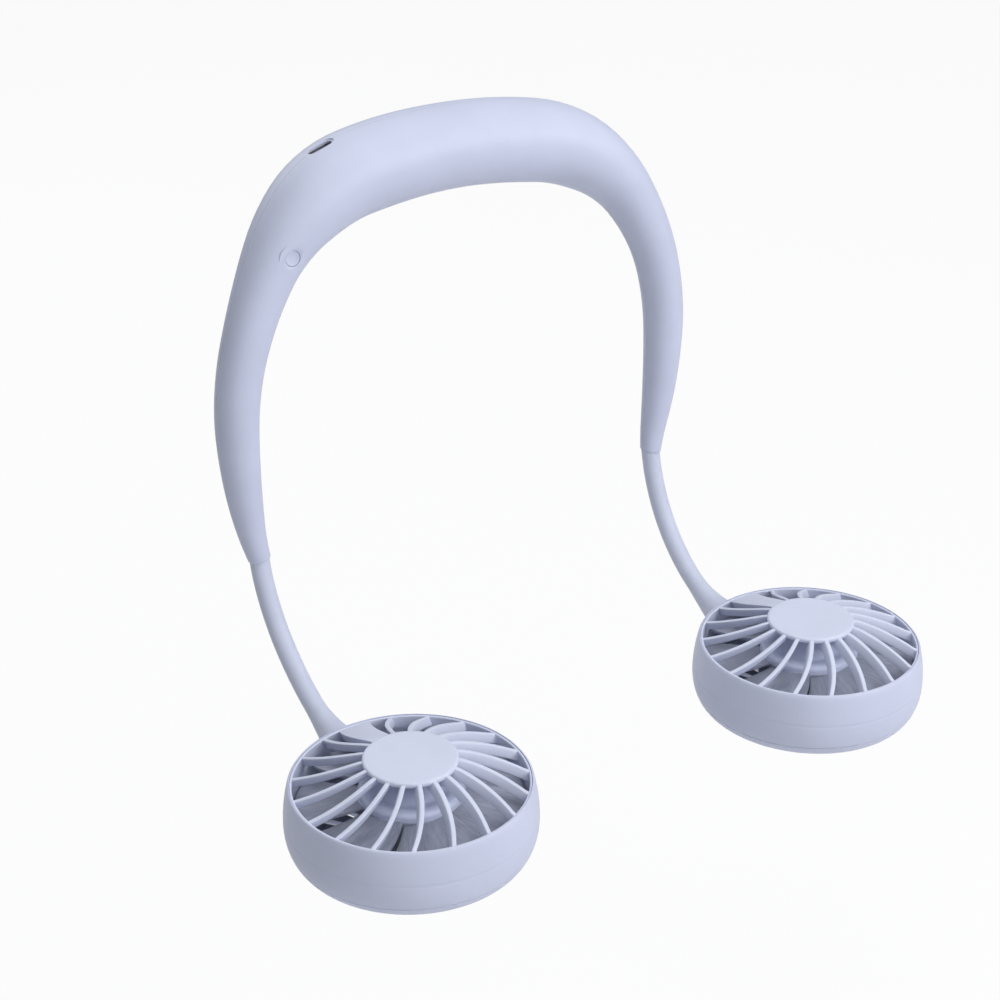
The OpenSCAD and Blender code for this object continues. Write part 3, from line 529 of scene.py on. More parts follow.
class NECKFAN_OT_band(bpy.types.Operator):
    """Models the band's front and rear shells with their cuts"""

    bl_idname = "neck_fan.band"
    bl_label = "Band shells"

    def execute(self, context):
        sizes = sidebar("band")
        steps = 104
        loops = []
        for i in range(steps + 1):
            s = BAND_LENGTH * (2 * i / steps - 1)
            place, heading = band_point(s)
            loops.append(ring(place, band_turn(heading), *band_half(s), 64))
        rear = loft("rear_shell_skin", loops, capped=False)
        edit(rear)
        choose(rear, lambda face: face.normal.y < 0)
        bpy.ops.mesh.separate(type="SELECTED")
        bpy.ops.object.mode_set(mode="OBJECT")
        front = [item for item in context.selected_objects if item != rear][0]
        front.name = "front_shell_skin"
        for skin, away in ((front, -1), (rear, 1)):
            settle(skin, (0, away * sizes.seam_gap / 2, 0))
            finish_with(skin, "SOLIDIFY", thickness=sizes.wall, offset=-1, use_even_offset=True)
            finish_with(skin, "BEVEL", width=sizes.seam_round, segments=2, limit_method="ANGLE",
                        angle_limit=math.radians(55))
        self.cut_screws(rear)
        self.cut_port(front, rear, sizes)
        self.cut_button(front, sizes)
        for skin, node in ((front, "front_shell"), (rear, "rear_shell")):
            smooth(skin)
            stands_for(skin, node, "band")
        return {"FINISHED"}

    def cut_screws(self, rear):
        """Screw wells in the rear shell, each with its own wall."""
        well_radius, bore_radius = 0.0028, 0.0017
        for s in SCREW_PLACES:
            place, deep = band_point(s)[0], band_half(s)[1]
            well = lathe("screw_well", [(well_radius, 0.0002), (well_radius, deep - 0.0006)], 32)
            carve(rear, settle(well, place, TO_BACK), "UNION")
            bore = [(bore_radius, 0.0012)] + outline(bore_radius, deep, (0, 0.8), (0.5, 1.3))
            carve(rear, settle(lathe("screw_bore", bore, 32), place, TO_BACK))

    def cut_port(self, front, rear, sizes):
        """The charging port's recess and mouth, across the seam."""
        place, heading = band_point(PORT_PLACE)
        out, deep = band_half(PORT_PLACE)[0], sizes.port_depth
        turn = upright(heading)
        cuts = (
            (sizes.port_width, sizes.port_height, deep + 0.0004, 0.12, out - deep),
            (0.0098, 0.0041, 0.0028, 0.0, out - 0.004), (0.0092, 0.0035, 0.005, 0.0, out - 0.004),
        )
        for skin in (front, rear):
            for wide, high, depth, flare, low in cuts:
                cutter = slot_cutter("port_cutter", wide, high, depth, flare)
                carve(skin, settle(cutter, place + turn @ Vector((0, 0, low)), turn))

    def cut_button(self, front, sizes):
        """The button's bore with a shallow dish round it, and its guide inside the shell."""
        place, deep = band_point(BUTTON_PLACE)[0], band_half(BUTTON_PLACE)[1]
        edge, guide_radius = sizes.button_radius + 0.00006, 0.0046
        bore = lathe("button_bore", outline(
            edge, deep, (0, -6), (0, -0.36), (0.22, -0.25), (0.5, -0.15),
            (0.9, 0.01), (1.4, 0.2), (2.2, 0.9),
        ), 64)
        settle(bore, place, TO_FRONT)
        guide = lathe("button_guide", outline(guide_radius, deep, (0, -5.5), (0, -0.7)), 48)
        carve(front, settle(guide, place, TO_FRONT), "UNION")
        carve(front, bore)


class NECKFAN_OT_button(bpy.types.Operator):
    """Models the dished power button with its flange and stem"""

    bl_idname = "neck_fan.button"
    bl_label = "Power button"

    def execute(self, context):
        sizes = sidebar("band")
        face = band_half(BUTTON_PLACE)[1] - sizes.button_sink
        r, dish = sizes.button_radius, sizes.button_dish
        dished = ((0.8, 0.25), (0.6, 0.66), (0.35, 0.92), (0.12, 1.0))
        profile = outline(0, face, (1.1, -4.6), (1.1, -3.5), (3.6, -3.5), (3.6, -2.5))
        profile += outline(r, face, (0, -2.5), (0, -0.3)) + [(r * 0.97, face - 0.0001), (r * 0.9, face)]
        profile += [(r * out, face - dish * down) for out, down in dished]
        button = settle(lathe("button_cap", profile, 64), band_point(BUTTON_PLACE)[0], TO_FRONT)
        smooth(button, 40)
        stands_for(button, "power_button", "button")
        return {"FINISHED"}


class NECKFAN_OT_arms(bpy.types.Operator):
    """Models the silicone arms, each in four lengths, one round each hinge place"""

    bl_idname = "neck_fan.arms"
    bl_label = "Silicone arms"

    def execute(self, context):
        arms, heads = sidebar("arms"), sidebar("heads")
        joints = [arms.first_place + arms.pitch * i for i in range(4)]
        wall = arm_length() - (heads.belly_radius - heads.attach_radius)
        cuts = [-0.001] + [place + arms.pitch / 2 for place in joints[:3]] + [wall + 0.0012]
        nodes = (("sleeve_top", "sleeve_upper"), ("sleeve_middle",), ("sleeve_lower",), ("boot",))
        for side_name, side in SIDES.items():
            for i, joint in enumerate(joints):
                piece = self.length_of_arm(side, cuts[i], cuts[i + 1], wall)
                piece.name = f"{side_name}_arm_length_{i + 1}"
                ends = [arm_place(side, joint + away * arms.pitch / 2)[0] for away in (-1, 1)]
                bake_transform(piece)
                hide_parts(*[f"{side_name}_{node}" for node in nodes[i]])
        return {"FINISHED"}

    def length_of_arm(self, side, start, end, wall):
        """One length of an arm, which flares into its boot before the head's wall."""
        arms = sidebar("arms")
        spacing = 0.0011
        count = max(10, round((end - start) / spacing))
        loops = []
        for k in range(count + 1):
            place = start + (end - start) * k / count
            point, turn = arm_place(side, place)
            flare = max(0.0, 1 - (wall - place) / arms.boot_length)
            r = arms.radius + (arms.boot_radius - arms.radius) * flare ** 1.6
            loops.append(ring(point, turn, r, r, 40))
        return smooth(loft("arm_length", loops), 40)


class NECKFAN_OT_housings(bpy.types.Operator):
    """Models the two housings, from the joint with the cover up to the rim"""

    bl_idname = "neck_fan.housings"
    bl_label = "Head housings"

    def execute(self, context):
        heads = sidebar("heads")
        low, high, belly, rim = heads.joint_height, heads.height, heads.belly_height, heads.rim_radius
        line, shallow, rebate = heads.line_height, 0.00008, rim - 0.00058
        steps, half_line = 8, 0.00022
        levels = [low + (belly - low) * k / steps for k in range(1, steps + 1)]
        levels += [belly + 0.001, line - half_line, line, line + half_line]
        levels += [line + (high - 0.0006 - line) * k / steps for k in range(1, steps + 1)]
        profile = [(heads.duct_radius, low), (outer_radius(low) - 0.0001, low),
                   (outer_radius(low + 0.0001), low + 0.0001)]
        profile += [(outer_radius(z) - (shallow if z == line else 0), z) for z in levels]
        profile += outline(rim, high, (-0.05, -0.35), (-0.18, -0.12), (-0.4, 0))
        profile += outline(rebate, high, (0.05, 0), (0, -0.05), (0, -4.4))
        profile += outline(heads.duct_radius, high, (0, -4.4))
        housing = lathe("housing", profile, 128, closed=True)
        to_heads(housing, "housing_shell", 40, "housing", "head")
        return {"FINISHED"}


class NECKFAN_OT_covers(bpy.types.Operator):
    """Models the rear covers with their slots and bearing posts"""

    bl_idname = "neck_fan.covers"
    bl_label = "Rear covers"

    def execute(self, context):
        heads = sidebar("heads")
        wall, base, belly = heads.cover_wall, heads.base_radius, heads.belly_height
        top = heads.joint_height - 0.0001
        steps, last = 10, math.acos((belly - top) / belly)
        profile = [(0.016, 0.0), (base - 0.0002, 0.0)]
        for k in range(1, steps + 1):
            turned = last * k / steps
            out = (heads.belly_radius - base) * math.sin(turned)
            profile.append((base + out, belly * (1 - math.cos(turned))))
        edge = profile.pop()[0]
        profile += outline(edge, top, (-0.03, -0.1), (-0.1, 0))
        profile += outline(heads.duct_radius - 0.0001, top, (0, 0), (0, 2.5), (-1, 2.5), (-1, 0))
        profile += [(base, wall), (0.0135, wall), (0.0135, 0.0029), (0.003, 0.0029), (0.003, 0.0163)]
        cover = lathe("cover", profile, 144)
        self.cut_slots(cover, heads)
        to_heads(cover, "slotted_cover", 35, "rear_cover", "head")
        return {"FINISHED"}

    def cut_slots(self, cover, heads):
        """Round-ended slots all round the cover."""
        start, end, width = 0.0175, heads.base_radius - 0.0015, 0.0024
        slot = slot_cutter("air_slot", end - start, width, 0.004)
        settle(slot, ((start + end) / 2, 0, -0.001))
        copies = [copied(slot, 2 * math.pi * (k + 0.5) / heads.slots) for k in range(heads.slots)]
        remove(slot)
        carve(cover, joined("air_slots", *copies))


class NECKFAN_OT_grilles(bpy.types.Operator):
    """Models the front grilles: disc, rim ring, vanes and the wire channel"""

    bl_idname = "neck_fan.grilles"
    bl_label = "Front grilles"

    def top_of_vane(self, r):
        """The height of a vane's top edge at a radius."""
        grille, heads = sidebar("grille"), sidebar("heads")
        hub, rim = heads.height + grille.rise - 0.0006, heads.height - 0.0005
        part = min(1.0, max(0.0, (r - grille.disc_radius) / (heads.duct_radius - grille.disc_radius)))
        return hub - (hub - rim) * part ** 1.15, part

    def vane(self, name, hub_width, rim_width, hollow=False):
        """One vane along X, made from a bar that is cut into stations and bent station by station."""
        grille, heads = sidebar("grille"), sidebar("heads")
        inner, outer, stations = grille.disc_radius - 0.0019, heads.rim_radius - RING_INSET - 0.0002, 14
        places = [inner + (outer - inner) * k / stations for k in range(stations + 1)]
        lean = -grille.depth * math.tan(grille.tilt)
        bpy.ops.mesh.primitive_cube_add(size=1, location=((inner + outer) / 2, 0, -grille.depth / 2))
        bar = bpy.context.object
        bar.name = name
        bar.scale = (outer - inner, 1, grille.depth)
        bpy.ops.object.transform_apply()
        edit(bar, "EDGE")
        for x in places[1:-1]:
            bpy.ops.mesh.select_all(action="SELECT")
            bpy.ops.mesh.bisect(plane_co=(x, 0, 0), plane_no=(1, 0, 0))
        for x in places:
            top, part = self.top_of_vane(x)
            choose(bar, lambda point: abs(point.co.x - x) < 0.00001, "vertices")
            wide = hub_width + (rim_width - hub_width) * part
            bpy.ops.transform.resize(value=(1, wide, 1), center_override=(x, 0, 0))
            turned = grille.sweep * (0.5 - part ** 1.6)
            bpy.ops.transform.translate(value=(0, x * math.sin(turned), top))
            choose(bar, lambda point: abs(point.co.x - x) < 0.00001 and point.co.z < top - grille.depth / 2,
                   "vertices")
            bpy.ops.transform.translate(value=(0, lean, 0))
        if hollow:
            choose(bar, lambda face: face.normal.z < -0.7)
            bpy.ops.mesh.inset(thickness=0.0011, depth=0)
            bpy.ops.mesh.extrude_region_move(TRANSFORM_OT_translate={"value": (0, 0, grille.depth * 0.62)})
        face_out()
        finish_with(bar, "BEVEL", width=0.00034, segments=3, limit_method="ANGLE",
                    angle_limit=math.radians(40))
        return bar

    def execute(self, context):
        grille, heads = sidebar("grille"), sidebar("heads")
        top = heads.height + grille.rise
        first = math.pi / 2 + grille.turn
        edge, under = grille.disc_radius, top - grille.disc_thickness
        disc = lathe("grille_disc", [
            *outline(edge, under, (-3, 0), (-0.6, 0), (-0.15, 0.25), (0, 0.7)),
            *outline(edge, top, (0, -0.8), (-0.12, -0.42), (-0.4, -0.14), (-0.8, -0.02), (-1.5, 0))])
        rim = lathe("grille_ring", outline(
            heads.rim_radius - RING_INSET, heads.height, (-0.75, -4.3), (0, -4.3), (0, -0.4), (-0.1, -0.24),
            (-0.3, -0.2), (-0.55, -0.26), (-0.75, -0.5)), 128, closed=True)
        vane = self.vane("grille_vane", grille.thickness, grille.thickness)
        channel = self.vane("grille_channel", grille.channel_width * 0.6, grille.channel_width, hollow=True)
        settle(channel, turn=Matrix.Rotation(first, 3, "Z"))
        step = 2 * math.pi / grille.places
        vanes = [copied(vane, first + step * k) for k in range(1, grille.places)]
        remove(vane)
        to_heads(joined("whole_grille", disc, rim, channel, *vanes), "grille", 36, "front_grille",
                 "head")
        return {"FINISHED"}


class NECKFAN_OT_impellers(bpy.types.Operator):
    """Models the impellers: a cupped hub and swept, cambered blades"""

    bl_idname = "neck_fan.impellers"
    bl_label = "Impellers"

    def blade(self, fan):
        """One blade along X, from a grid whose points are moved one by one, for a while 5 m aside."""
        columns, rows, aside = 12, 16, 5
        bpy.ops.mesh.primitive_grid_add(x_subdivisions=columns, y_subdivisions=rows, size=1)
        blade = bpy.context.object
        blade.name = "fan_blade"
        edit(blade, "VERT")
        inner, outer = fan.hub_radius - 0.0005, fan.blade_radius
        tip_angle = fan.tip_chord / 2 / fan.blade_radius
        run = 2 * fan.blade_radius * math.sin(tip_angle + fan.sweep)
        rise = fan.blade_height - fan.thickness
        for k in range(columns, -1, -1):
            x, t = k / columns - 0.5, k / columns
            r = inner + (outer - inner) * t
            half = (fan.root_chord + (fan.tip_chord - fan.root_chord) * t) / 2 / r
            for j in range(rows + 1):
                y = j / rows - 0.5
                turned = 2 * y * half - fan.sweep * t * t
                goal = Vector((aside + r * math.cos(turned), r * math.sin(turned), 0))
                part = goal.y / run + 0.5
                goal.z = fan.blade_base + fan.thickness / 2 + rise * part
                goal.z += fan.camber * 4 * part * (1 - part)
                goal.z += (fan.blade_radius + aside - goal.x) * math.tan(fan.cone)
                start = Vector((x, y, 0))
                choose(blade, lambda point: (point.co - start).length < 0.001, "vertices")
                bpy.ops.transform.translate(value=goal - start)
        bpy.ops.mesh.select_all(action="SELECT")
        bpy.ops.transform.translate(value=(-aside, 0, 0))
        finish_with(blade, "SOLIDIFY", thickness=fan.thickness, offset=0)
        finish_with(blade, "BEVEL", width=0.00028, segments=2, limit_method="ANGLE",
                    angle_limit=math.radians(50))
        return blade

    def execute(self, context):
        fan = sidebar("impeller")
        r, top, low, inner, bore = fan.hub_radius, fan.hub_top, fan.hub_low, 0.01583, 0.001025
        hub = lathe("fan_hub", [
            (bore, top - 0.0016), (inner, top - 0.0016), (inner, low), (r - 0.0003, low), (r, low + 0.0003),
            *outline(r, top, (0, -1.6), (-0.12, -0.98), (-0.47, -0.47), (-0.98, -0.12), (-1.6, 0), (-4, 0),
                     (-4.3, -0.2), (-7, -0.2), (-7.3, 0)),
            (0.002, top), (0.0014, top - 0.0003)])
        blade = self.blade(fan)
        blades = [copied(blade, 2 * math.pi * k / fan.blades) for k in range(fan.blades)]
        remove(blade)
        to_heads(joined("whole_fan", hub, *blades), "fan_wheel", 36, "impeller", "fan")
        return {"FINISHED"}


class Wired:
    """A node's socket that takes part in sums."""

    def __init__(self, finish, socket):
        self.finish = finish
        self.socket = socket

    def sum(self, operation, other, turned=False):
        pair = (other, self) if turned else (self, other)
        return self.finish.maths(operation, *pair)

    def __add__(self, other):
        return self.sum("ADD", other)

    def __sub__(self, other):
        return self.sum("SUBTRACT", other)

    def __rsub__(self, other):
        return self.sum("SUBTRACT", other, True)

    def __mul__(self, other):
        return self.sum("MULTIPLY", other)

    __radd__ = __add__
    __rmul__ = __mul__


class Nodes:
    """The node tree of a material or of the world."""

    def __init__(self, owner, output):
        self.owner = owner
        owner.use_nodes = True
        self.tree = owner.node_tree
        self.tree.nodes.clear()
        self.output = self.node(output)

    def node(self, kind, settings=None, sockets=None):
        """Any node: its settings first, then the values or links of its sockets."""
        made = self.tree.nodes.new(kind)
        for name, value in (settings or {}).items():
            setattr(made, name, value)
        for name, value in (sockets or {}).items():
            self.feed(made.inputs[name], value)
        return made

    def feed(self, socket, value):
        """Links a socket, or sets its value."""
        if isinstance(value, Wired):
            value = value.socket
        if isinstance(value, bpy.types.NodeSocket):
            self.tree.links.new(value, socket)
        elif socket.type == "RGBA" and len(value) == 3:
            socket.default_value = (*value, 1)
        else:
            socket.default_value = value

    def maths(self, operation, *values):
        """A function of one value, or of two."""
        made = self.node("ShaderNodeMath", {"operation": operation}, dict(enumerate(values)))
        return Wired(self, made.outputs[0])

    def limited(self, value):
        """A value kept between nothing and one."""
        return self.maths("MAXIMUM", self.maths("MINIMUM", value, 1.0), 0.0)

    def over(self, below, above, amount):
        """Sends out one shader with another over it."""
        mix = self.node("ShaderNodeMixShader", None, {0: amount, 1: below, 2: above})
        self.feed(self.output.inputs[0], mix.outputs[0])
        return self.owner


class Finish(Nodes):
    """A material that is built up from patterns in millimetres."""

    def __init__(self, name):
        super().__init__(bpy.data.materials.new(name), "ShaderNodeOutputMaterial")
        place = self.node("ShaderNodeTexCoord").outputs["Object"]
        self.millimetres = self.node("ShaderNodeMapping", None, {
            "Vector": place, "Scale": (1000, 1000, 1000)}).outputs[0]

    def noise(self, scale, detail=2.0, roughness=0.5, stretch=(1, 1, 1), place=None):
        """A cloudy pattern with this many features to the millimetre."""
        where = place or self.millimetres
        if stretch != (1, 1, 1):
            where = self.node("ShaderNodeMapping", None, {"Vector": where, "Scale": stretch}).outputs[0]
        made = self.node("ShaderNodeTexNoise", None, {
            "Vector": where, "Scale": scale, "Detail": detail, "Roughness": roughness})
        return Wired(self, made.outputs[0])

    def cells(self, scale):
        """Distance to the nearest of scattered points."""
        made = self.node("ShaderNodeTexVoronoi", None, {"Vector": self.millimetres, "Scale": scale})
        return Wired(self, made.outputs["Distance"])

    def split(self):
        """The three numbers of a place."""
        made = self.node("ShaderNodeSeparateXYZ", None, {"Vector": self.millimetres})
        return [Wired(self, socket) for socket in made.outputs]

    def mixed(self, dark, light, amount):
        """A colour between two."""
        return self.node("ShaderNodeMix", {"data_type": "RGBA"}, {0: amount, 6: dark, 7: light}).outputs[2]

    def relief(self, height, distance, strength):
        """A bump in metres from a height pattern."""
        return self.node("ShaderNodeBump", None, {
            "Height": height, "Distance": distance, "Strength": strength}).outputs[0]

    def principled(self, **sockets):
        """The shader, with its sockets named in lower case."""
        shader = self.node("ShaderNodeBsdfPrincipled")
        names = {socket.name.lower().replace(" ", "_"): socket for socket in shader.inputs}
        for name, value in sockets.items():
            self.feed(names[name], value)
        return shader.outputs[0]

    def surface(self, **sockets):
        """The finished material."""
        self.feed(self.output.inputs[0], self.principled(**sockets))
        return self.owner

def shaded(tone, amount):
    """A colour made lighter or darker."""
    return tuple(min(1.0, part * amount) for part in tone)


def moulded_plastic(name, tone, rough=0.5, grain=0.00003):
    """Matte moulded plastic: fine spark texture, faint clouding and a few rub marks."""
    finish = Finish(name)
    cloud = finish.noise(0.045, 3, 0.55)
    fine = finish.noise(2.6, 2, 0.6)
    pits = finish.cells(1.5)
    rubs = finish.limited((finish.noise(0.5, 4, 0.65, (1, 1, 0.25)) - 0.62) * 6)
    base = finish.mixed(shaded(tone, 0.965), shaded(tone, 1.03), finish.limited(cloud * 2 - 0.5))
    base = finish.mixed(base, shaded(tone, 0.93), finish.limited(fine * 1.4 - 0.62) * 0.35)
    return finish.surface(
        base_color=base, roughness=rough + (fine - 0.5) * 0.10 + rubs * -0.07,
        normal=finish.relief(fine * 0.7 + pits * 0.5, grain, 0.75), specular_ior_level=0.42, ior=1.46)


def soft_silicone(name, tone):
    """Silicone rubber: satin and faintly clouded, with specks of dust."""
    finish = Finish(name)
    cloud = finish.noise(0.12, 3, 0.6)
    dust = finish.limited((finish.noise(3.5, 2, 0.5) - 0.63) * 7)
    fine = finish.noise(1.6, 3, 0.6)
    base = finish.mixed(shaded(tone, 0.95), shaded(tone, 1.03), finish.limited(cloud * 2 - 0.5))
    base = finish.mixed(base, (0.80, 0.82, 0.86), dust * 0.28)
    return finish.surface(
        base_color=base, roughness=0.58 + (cloud - 0.5) * 0.14 + dust * 0.1,
        normal=finish.relief(fine + dust * 0.4, 0.00003, 0.7), specular_ior_level=0.4, sheen_weight=0.12,
        sheen_roughness=0.5)


def wheel_plastic_painted_shade_and_light(name, tone, centre):
    """Blade plastic with real flow streaks, darkened as painted shade, and a painted highlight on the hub's
    top band that is a lit copy of the same plastic.
    """
    finish = Finish(name)
    x, y, z = finish.split()
    x, y = x - centre.x * 1000, y - centre.y * 1000
    reach = finish.maths("SQRT", x * x + y * y)
    around = finish.maths("ARCTAN2", y, x)
    place = finish.node("ShaderNodeCombineXYZ", None, {
        "X": finish.maths("SINE", around) * 60, "Y": finish.maths("COSINE", around) * 60, "Z": reach * 0.35})
    streak = finish.noise(0.55, 3, 0.6, place=place.outputs[0])
    fine = finish.noise(2.4, 2, 0.6)
    # Painted light: only the hub's top band, above 19.8 mm over the base, gets the lit copy; the hub's side
    # below it keeps the painted shade
    hub = finish.limited((17.6 - reach) * 1.5) * finish.limited((z - centre.z * 1000 - 19.8) * 1.4)
    # Painted shade on the blades, about half the lit tone, with the real flow streaks over it; the next line
    # is the painted highlight's lit copy
    blade = finish.mixed(shaded(tone, 0.75), shaded(tone, 1.16), finish.limited(streak * 1.8 - 0.4))
    light = finish.mixed(shaded(tone, 1.98), shaded(tone, 2.08), fine)
    return finish.surface(
        base_color=finish.mixed(blade, light, hub), roughness=0.46 + (streak - 0.5) * 0.18,
        normal=finish.relief(streak * 0.8 + fine * 0.4, 0.00004, 0.7), specular_ior_level=0.42)


def turned_metal(name, tone, rough=0.3, stretch=(1, 1, 12)):
    """Bare metal with fine drawing or turning marks and some dullness."""
    finish = Finish(name)
    marks = finish.noise(1.2, 4, 0.7, stretch)
    dull = finish.noise(0.4, 3, 0.6)
    base = finish.mixed(shaded(tone, 0.82), shaded(tone, 1.08), finish.limited(marks * 1.6 - 0.3))
    return finish.surface(
        base_color=base, metallic=1.0, roughness=rough + (dull - 0.5) * 0.22 + (marks - 0.5) * 0.1,
        normal=finish.relief(marks, 0.00002, 0.6))


def layered_steel(name, tone):
    """Stacked motor sheets, seen as thin level lines."""
    finish = Finish(name)
    lines = finish.maths("PINGPONG", finish.split()[2] * 2.9, 1.0)
    fine = finish.noise(1.5, 3, 0.6)
    amount = finish.limited(lines * 1.6) * 0.8 + fine * 0.2
    base = finish.mixed(shaded(tone, 0.55), shaded(tone, 1.05), amount)
    return finish.surface(
        base_color=base, metallic=0.85, roughness=0.42 + (fine - 0.5) * 0.2,
        normal=finish.relief(lines, 0.00006, 0.7))


def wound_copper(name, tone):
    """Enamelled winding, with its turns side by side."""
    finish = Finish(name)
    x, y = finish.split()[:2]
    turns = finish.maths("PINGPONG", (x + y * 0.35) * 3.2, 1.0)
    fine = finish.noise(1.2, 3, 0.6)
    amount = finish.limited(turns * 1.4 - 0.1 + fine * 0.2)
    base = finish.mixed(shaded(tone, 0.45), shaded(tone, 1.1), amount)
    return finish.surface(
        base_color=base, metallic=0.75, roughness=0.34 + (fine - 0.5) * 0.2,
        normal=finish.relief(turns, 0.0001, 0.8), coat_weight=0.25 + fine * 0.1)


def printed_board(name, tone):
    """Circuit board: solder mask over tracks, with small bright pads."""
    finish = Finish(name)
    x, z = finish.split()[::2]
    across = finish.maths("PINGPONG", (x + z * 0.2) * 0.9, 1.0)
    along = finish.maths("PINGPONG", (z - x * 0.2) * 0.7, 1.0)
    tracks = finish.limited((finish.maths("MAXIMUM", across, along) - 0.80) * 9)
    pads = finish.limited((0.22 - finish.cells(0.55)) * 12)
    fine = finish.noise(2.0, 3, 0.6)
    base = finish.mixed(shaded(tone, 0.8), shaded(tone, 1.5), tracks * 0.8 + fine * 0.15)
    base = finish.mixed(base, (0.78, 0.77, 0.72), pads)
    return finish.surface(
        base_color=base, metallic=pads * 0.8, roughness=0.36 + pads * 0.08 + (fine - 0.5) * 0.1,
        normal=finish.relief(tracks + pads * 0.8, 0.00006, 0.7))


def grainy(name, tone, rough, scale, contrast=0.25, distance=0.00006):
    """A plain stuff with visible grain, such as foam, jacket or magnet."""
    finish = Finish(name)
    grain = finish.noise(scale, 4, 0.65)
    pores = finish.cells(scale * 0.9)
    amount = finish.limited(grain * 1.5 - 0.25)
    base = finish.mixed(shaded(tone, 1 - contrast), shaded(tone, 1 + contrast), amount)
    return finish.surface(
        base_color=base, roughness=rough + (grain - 0.5) * 0.2,
        normal=finish.relief(grain + pores * 0.6, distance, 0.8))


class NECKFAN_OT_finishes(bpy.types.Operator):
    """Gives every piece and every carried node its own material"""

    bl_idname = "neck_fan.finishes"
    bl_label = "Finishes"

    def execute(self, context):
        tones = sidebar("colours")
        shell = moulded_plastic("lavender_shell", tones.shell)
        silicone = soft_silicone("lavender_silicone", tones.silicone)
        grille = moulded_plastic("lavender_grille", tones.grille, 0.46, 0.00002)
        steel = turned_metal("drawn_steel", (0.62, 0.63, 0.65))
        board = printed_board("green_board", (0.02, 0.16, 0.07))
        inner = {
            "shell_screws": turned_metal("screw_steel", (0.42, 0.43, 0.45), 0.36, (1, 6, 1)),
            "battery_cell": grainy("cell_wrap", (0.04, 0.15, 0.40), 0.32, 0.9, 0.12, 0.00003),
            "battery_cradle": moulded_plastic("white_plastic", (0.72, 0.72, 0.71), 0.5),
            "battery_tabs": turned_metal("nickel_strip", (0.66, 0.64, 0.58), 0.28, (1, 10, 1)),
            "foam_pads": grainy("black_foam", (0.05, 0.05, 0.055), 0.9, 1.8, 0.5, 0.0003),
            "control_board": board,
            "charging_socket": turned_metal("socket_steel", (0.60, 0.60, 0.62), 0.34, (6, 1, 1)),
            "tact_switch": grainy("switch_body", (0.03, 0.03, 0.034), 0.45, 2.2, 0.2, 0.00003),
            "lead_wires": grainy("red_jacket", (0.46, 0.02, 0.02), 0.4, 1.4, 0.12, 0.00003),
        }
        by_ending = {
            "rotor_cup": turned_metal("plated_cup", (0.55, 0.56, 0.58), 0.3, (1, 1, 8)),
            "magnet_ring": grainy("ferrite_ring", (0.05, 0.05, 0.055), 0.6, 3.0, 0.3, 0.00004),
            "shaft": turned_metal("ground_shaft", (0.68, 0.69, 0.71), 0.18, (1, 1, 14)),
            "stator": layered_steel("stator_sheets", (0.42, 0.43, 0.45)),
            "coils": wound_copper("enamelled_copper", (0.72, 0.32, 0.12)),
            "bearing": grainy("sintered_bronze", (0.42, 0.27, 0.10), 0.42, 4.0, 0.2, 0.00002),
            "motor_board": board,
            "motor_screws": turned_metal("small_screws", (0.45, 0.46, 0.48), 0.34, (1, 1, 8)),
        }
        by_ending.update({f"core_{part}": steel for part in ("top", "upper", "middle", "lower", "end")})
        for name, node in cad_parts.items():
            self.dress(node, inner.get(name) or by_ending.get(name.partition("_")[2]) or shell)
        pieces = {"front_shell_skin": shell, "rear_shell_skin": shell, "button_cap": shell}
        for side_name, side in SIDES.items():
            wheel = wheel_plastic_painted_shade_and_light(f"{side_name}_wheel_plastic", tones.impeller, head_centre(side))
            endings = {"fan_wheel": wheel, "grille": grille, "housing_shell": shell, "slotted_cover": shell}
            endings.update({f"arm_length_{i + 1}": silicone for i in range(4)})
            pieces.update({f"{side_name}_{ending}": finish for ending, finish in endings.items()})
        for name, finish in pieces.items():
            self.dress(bpy.data.objects[name], finish)
        return {"FINISHED"}

    def dress(self, piece, finish):
        """One material on a piece."""
        piece.data.materials.clear()
        piece.data.materials.append(finish)


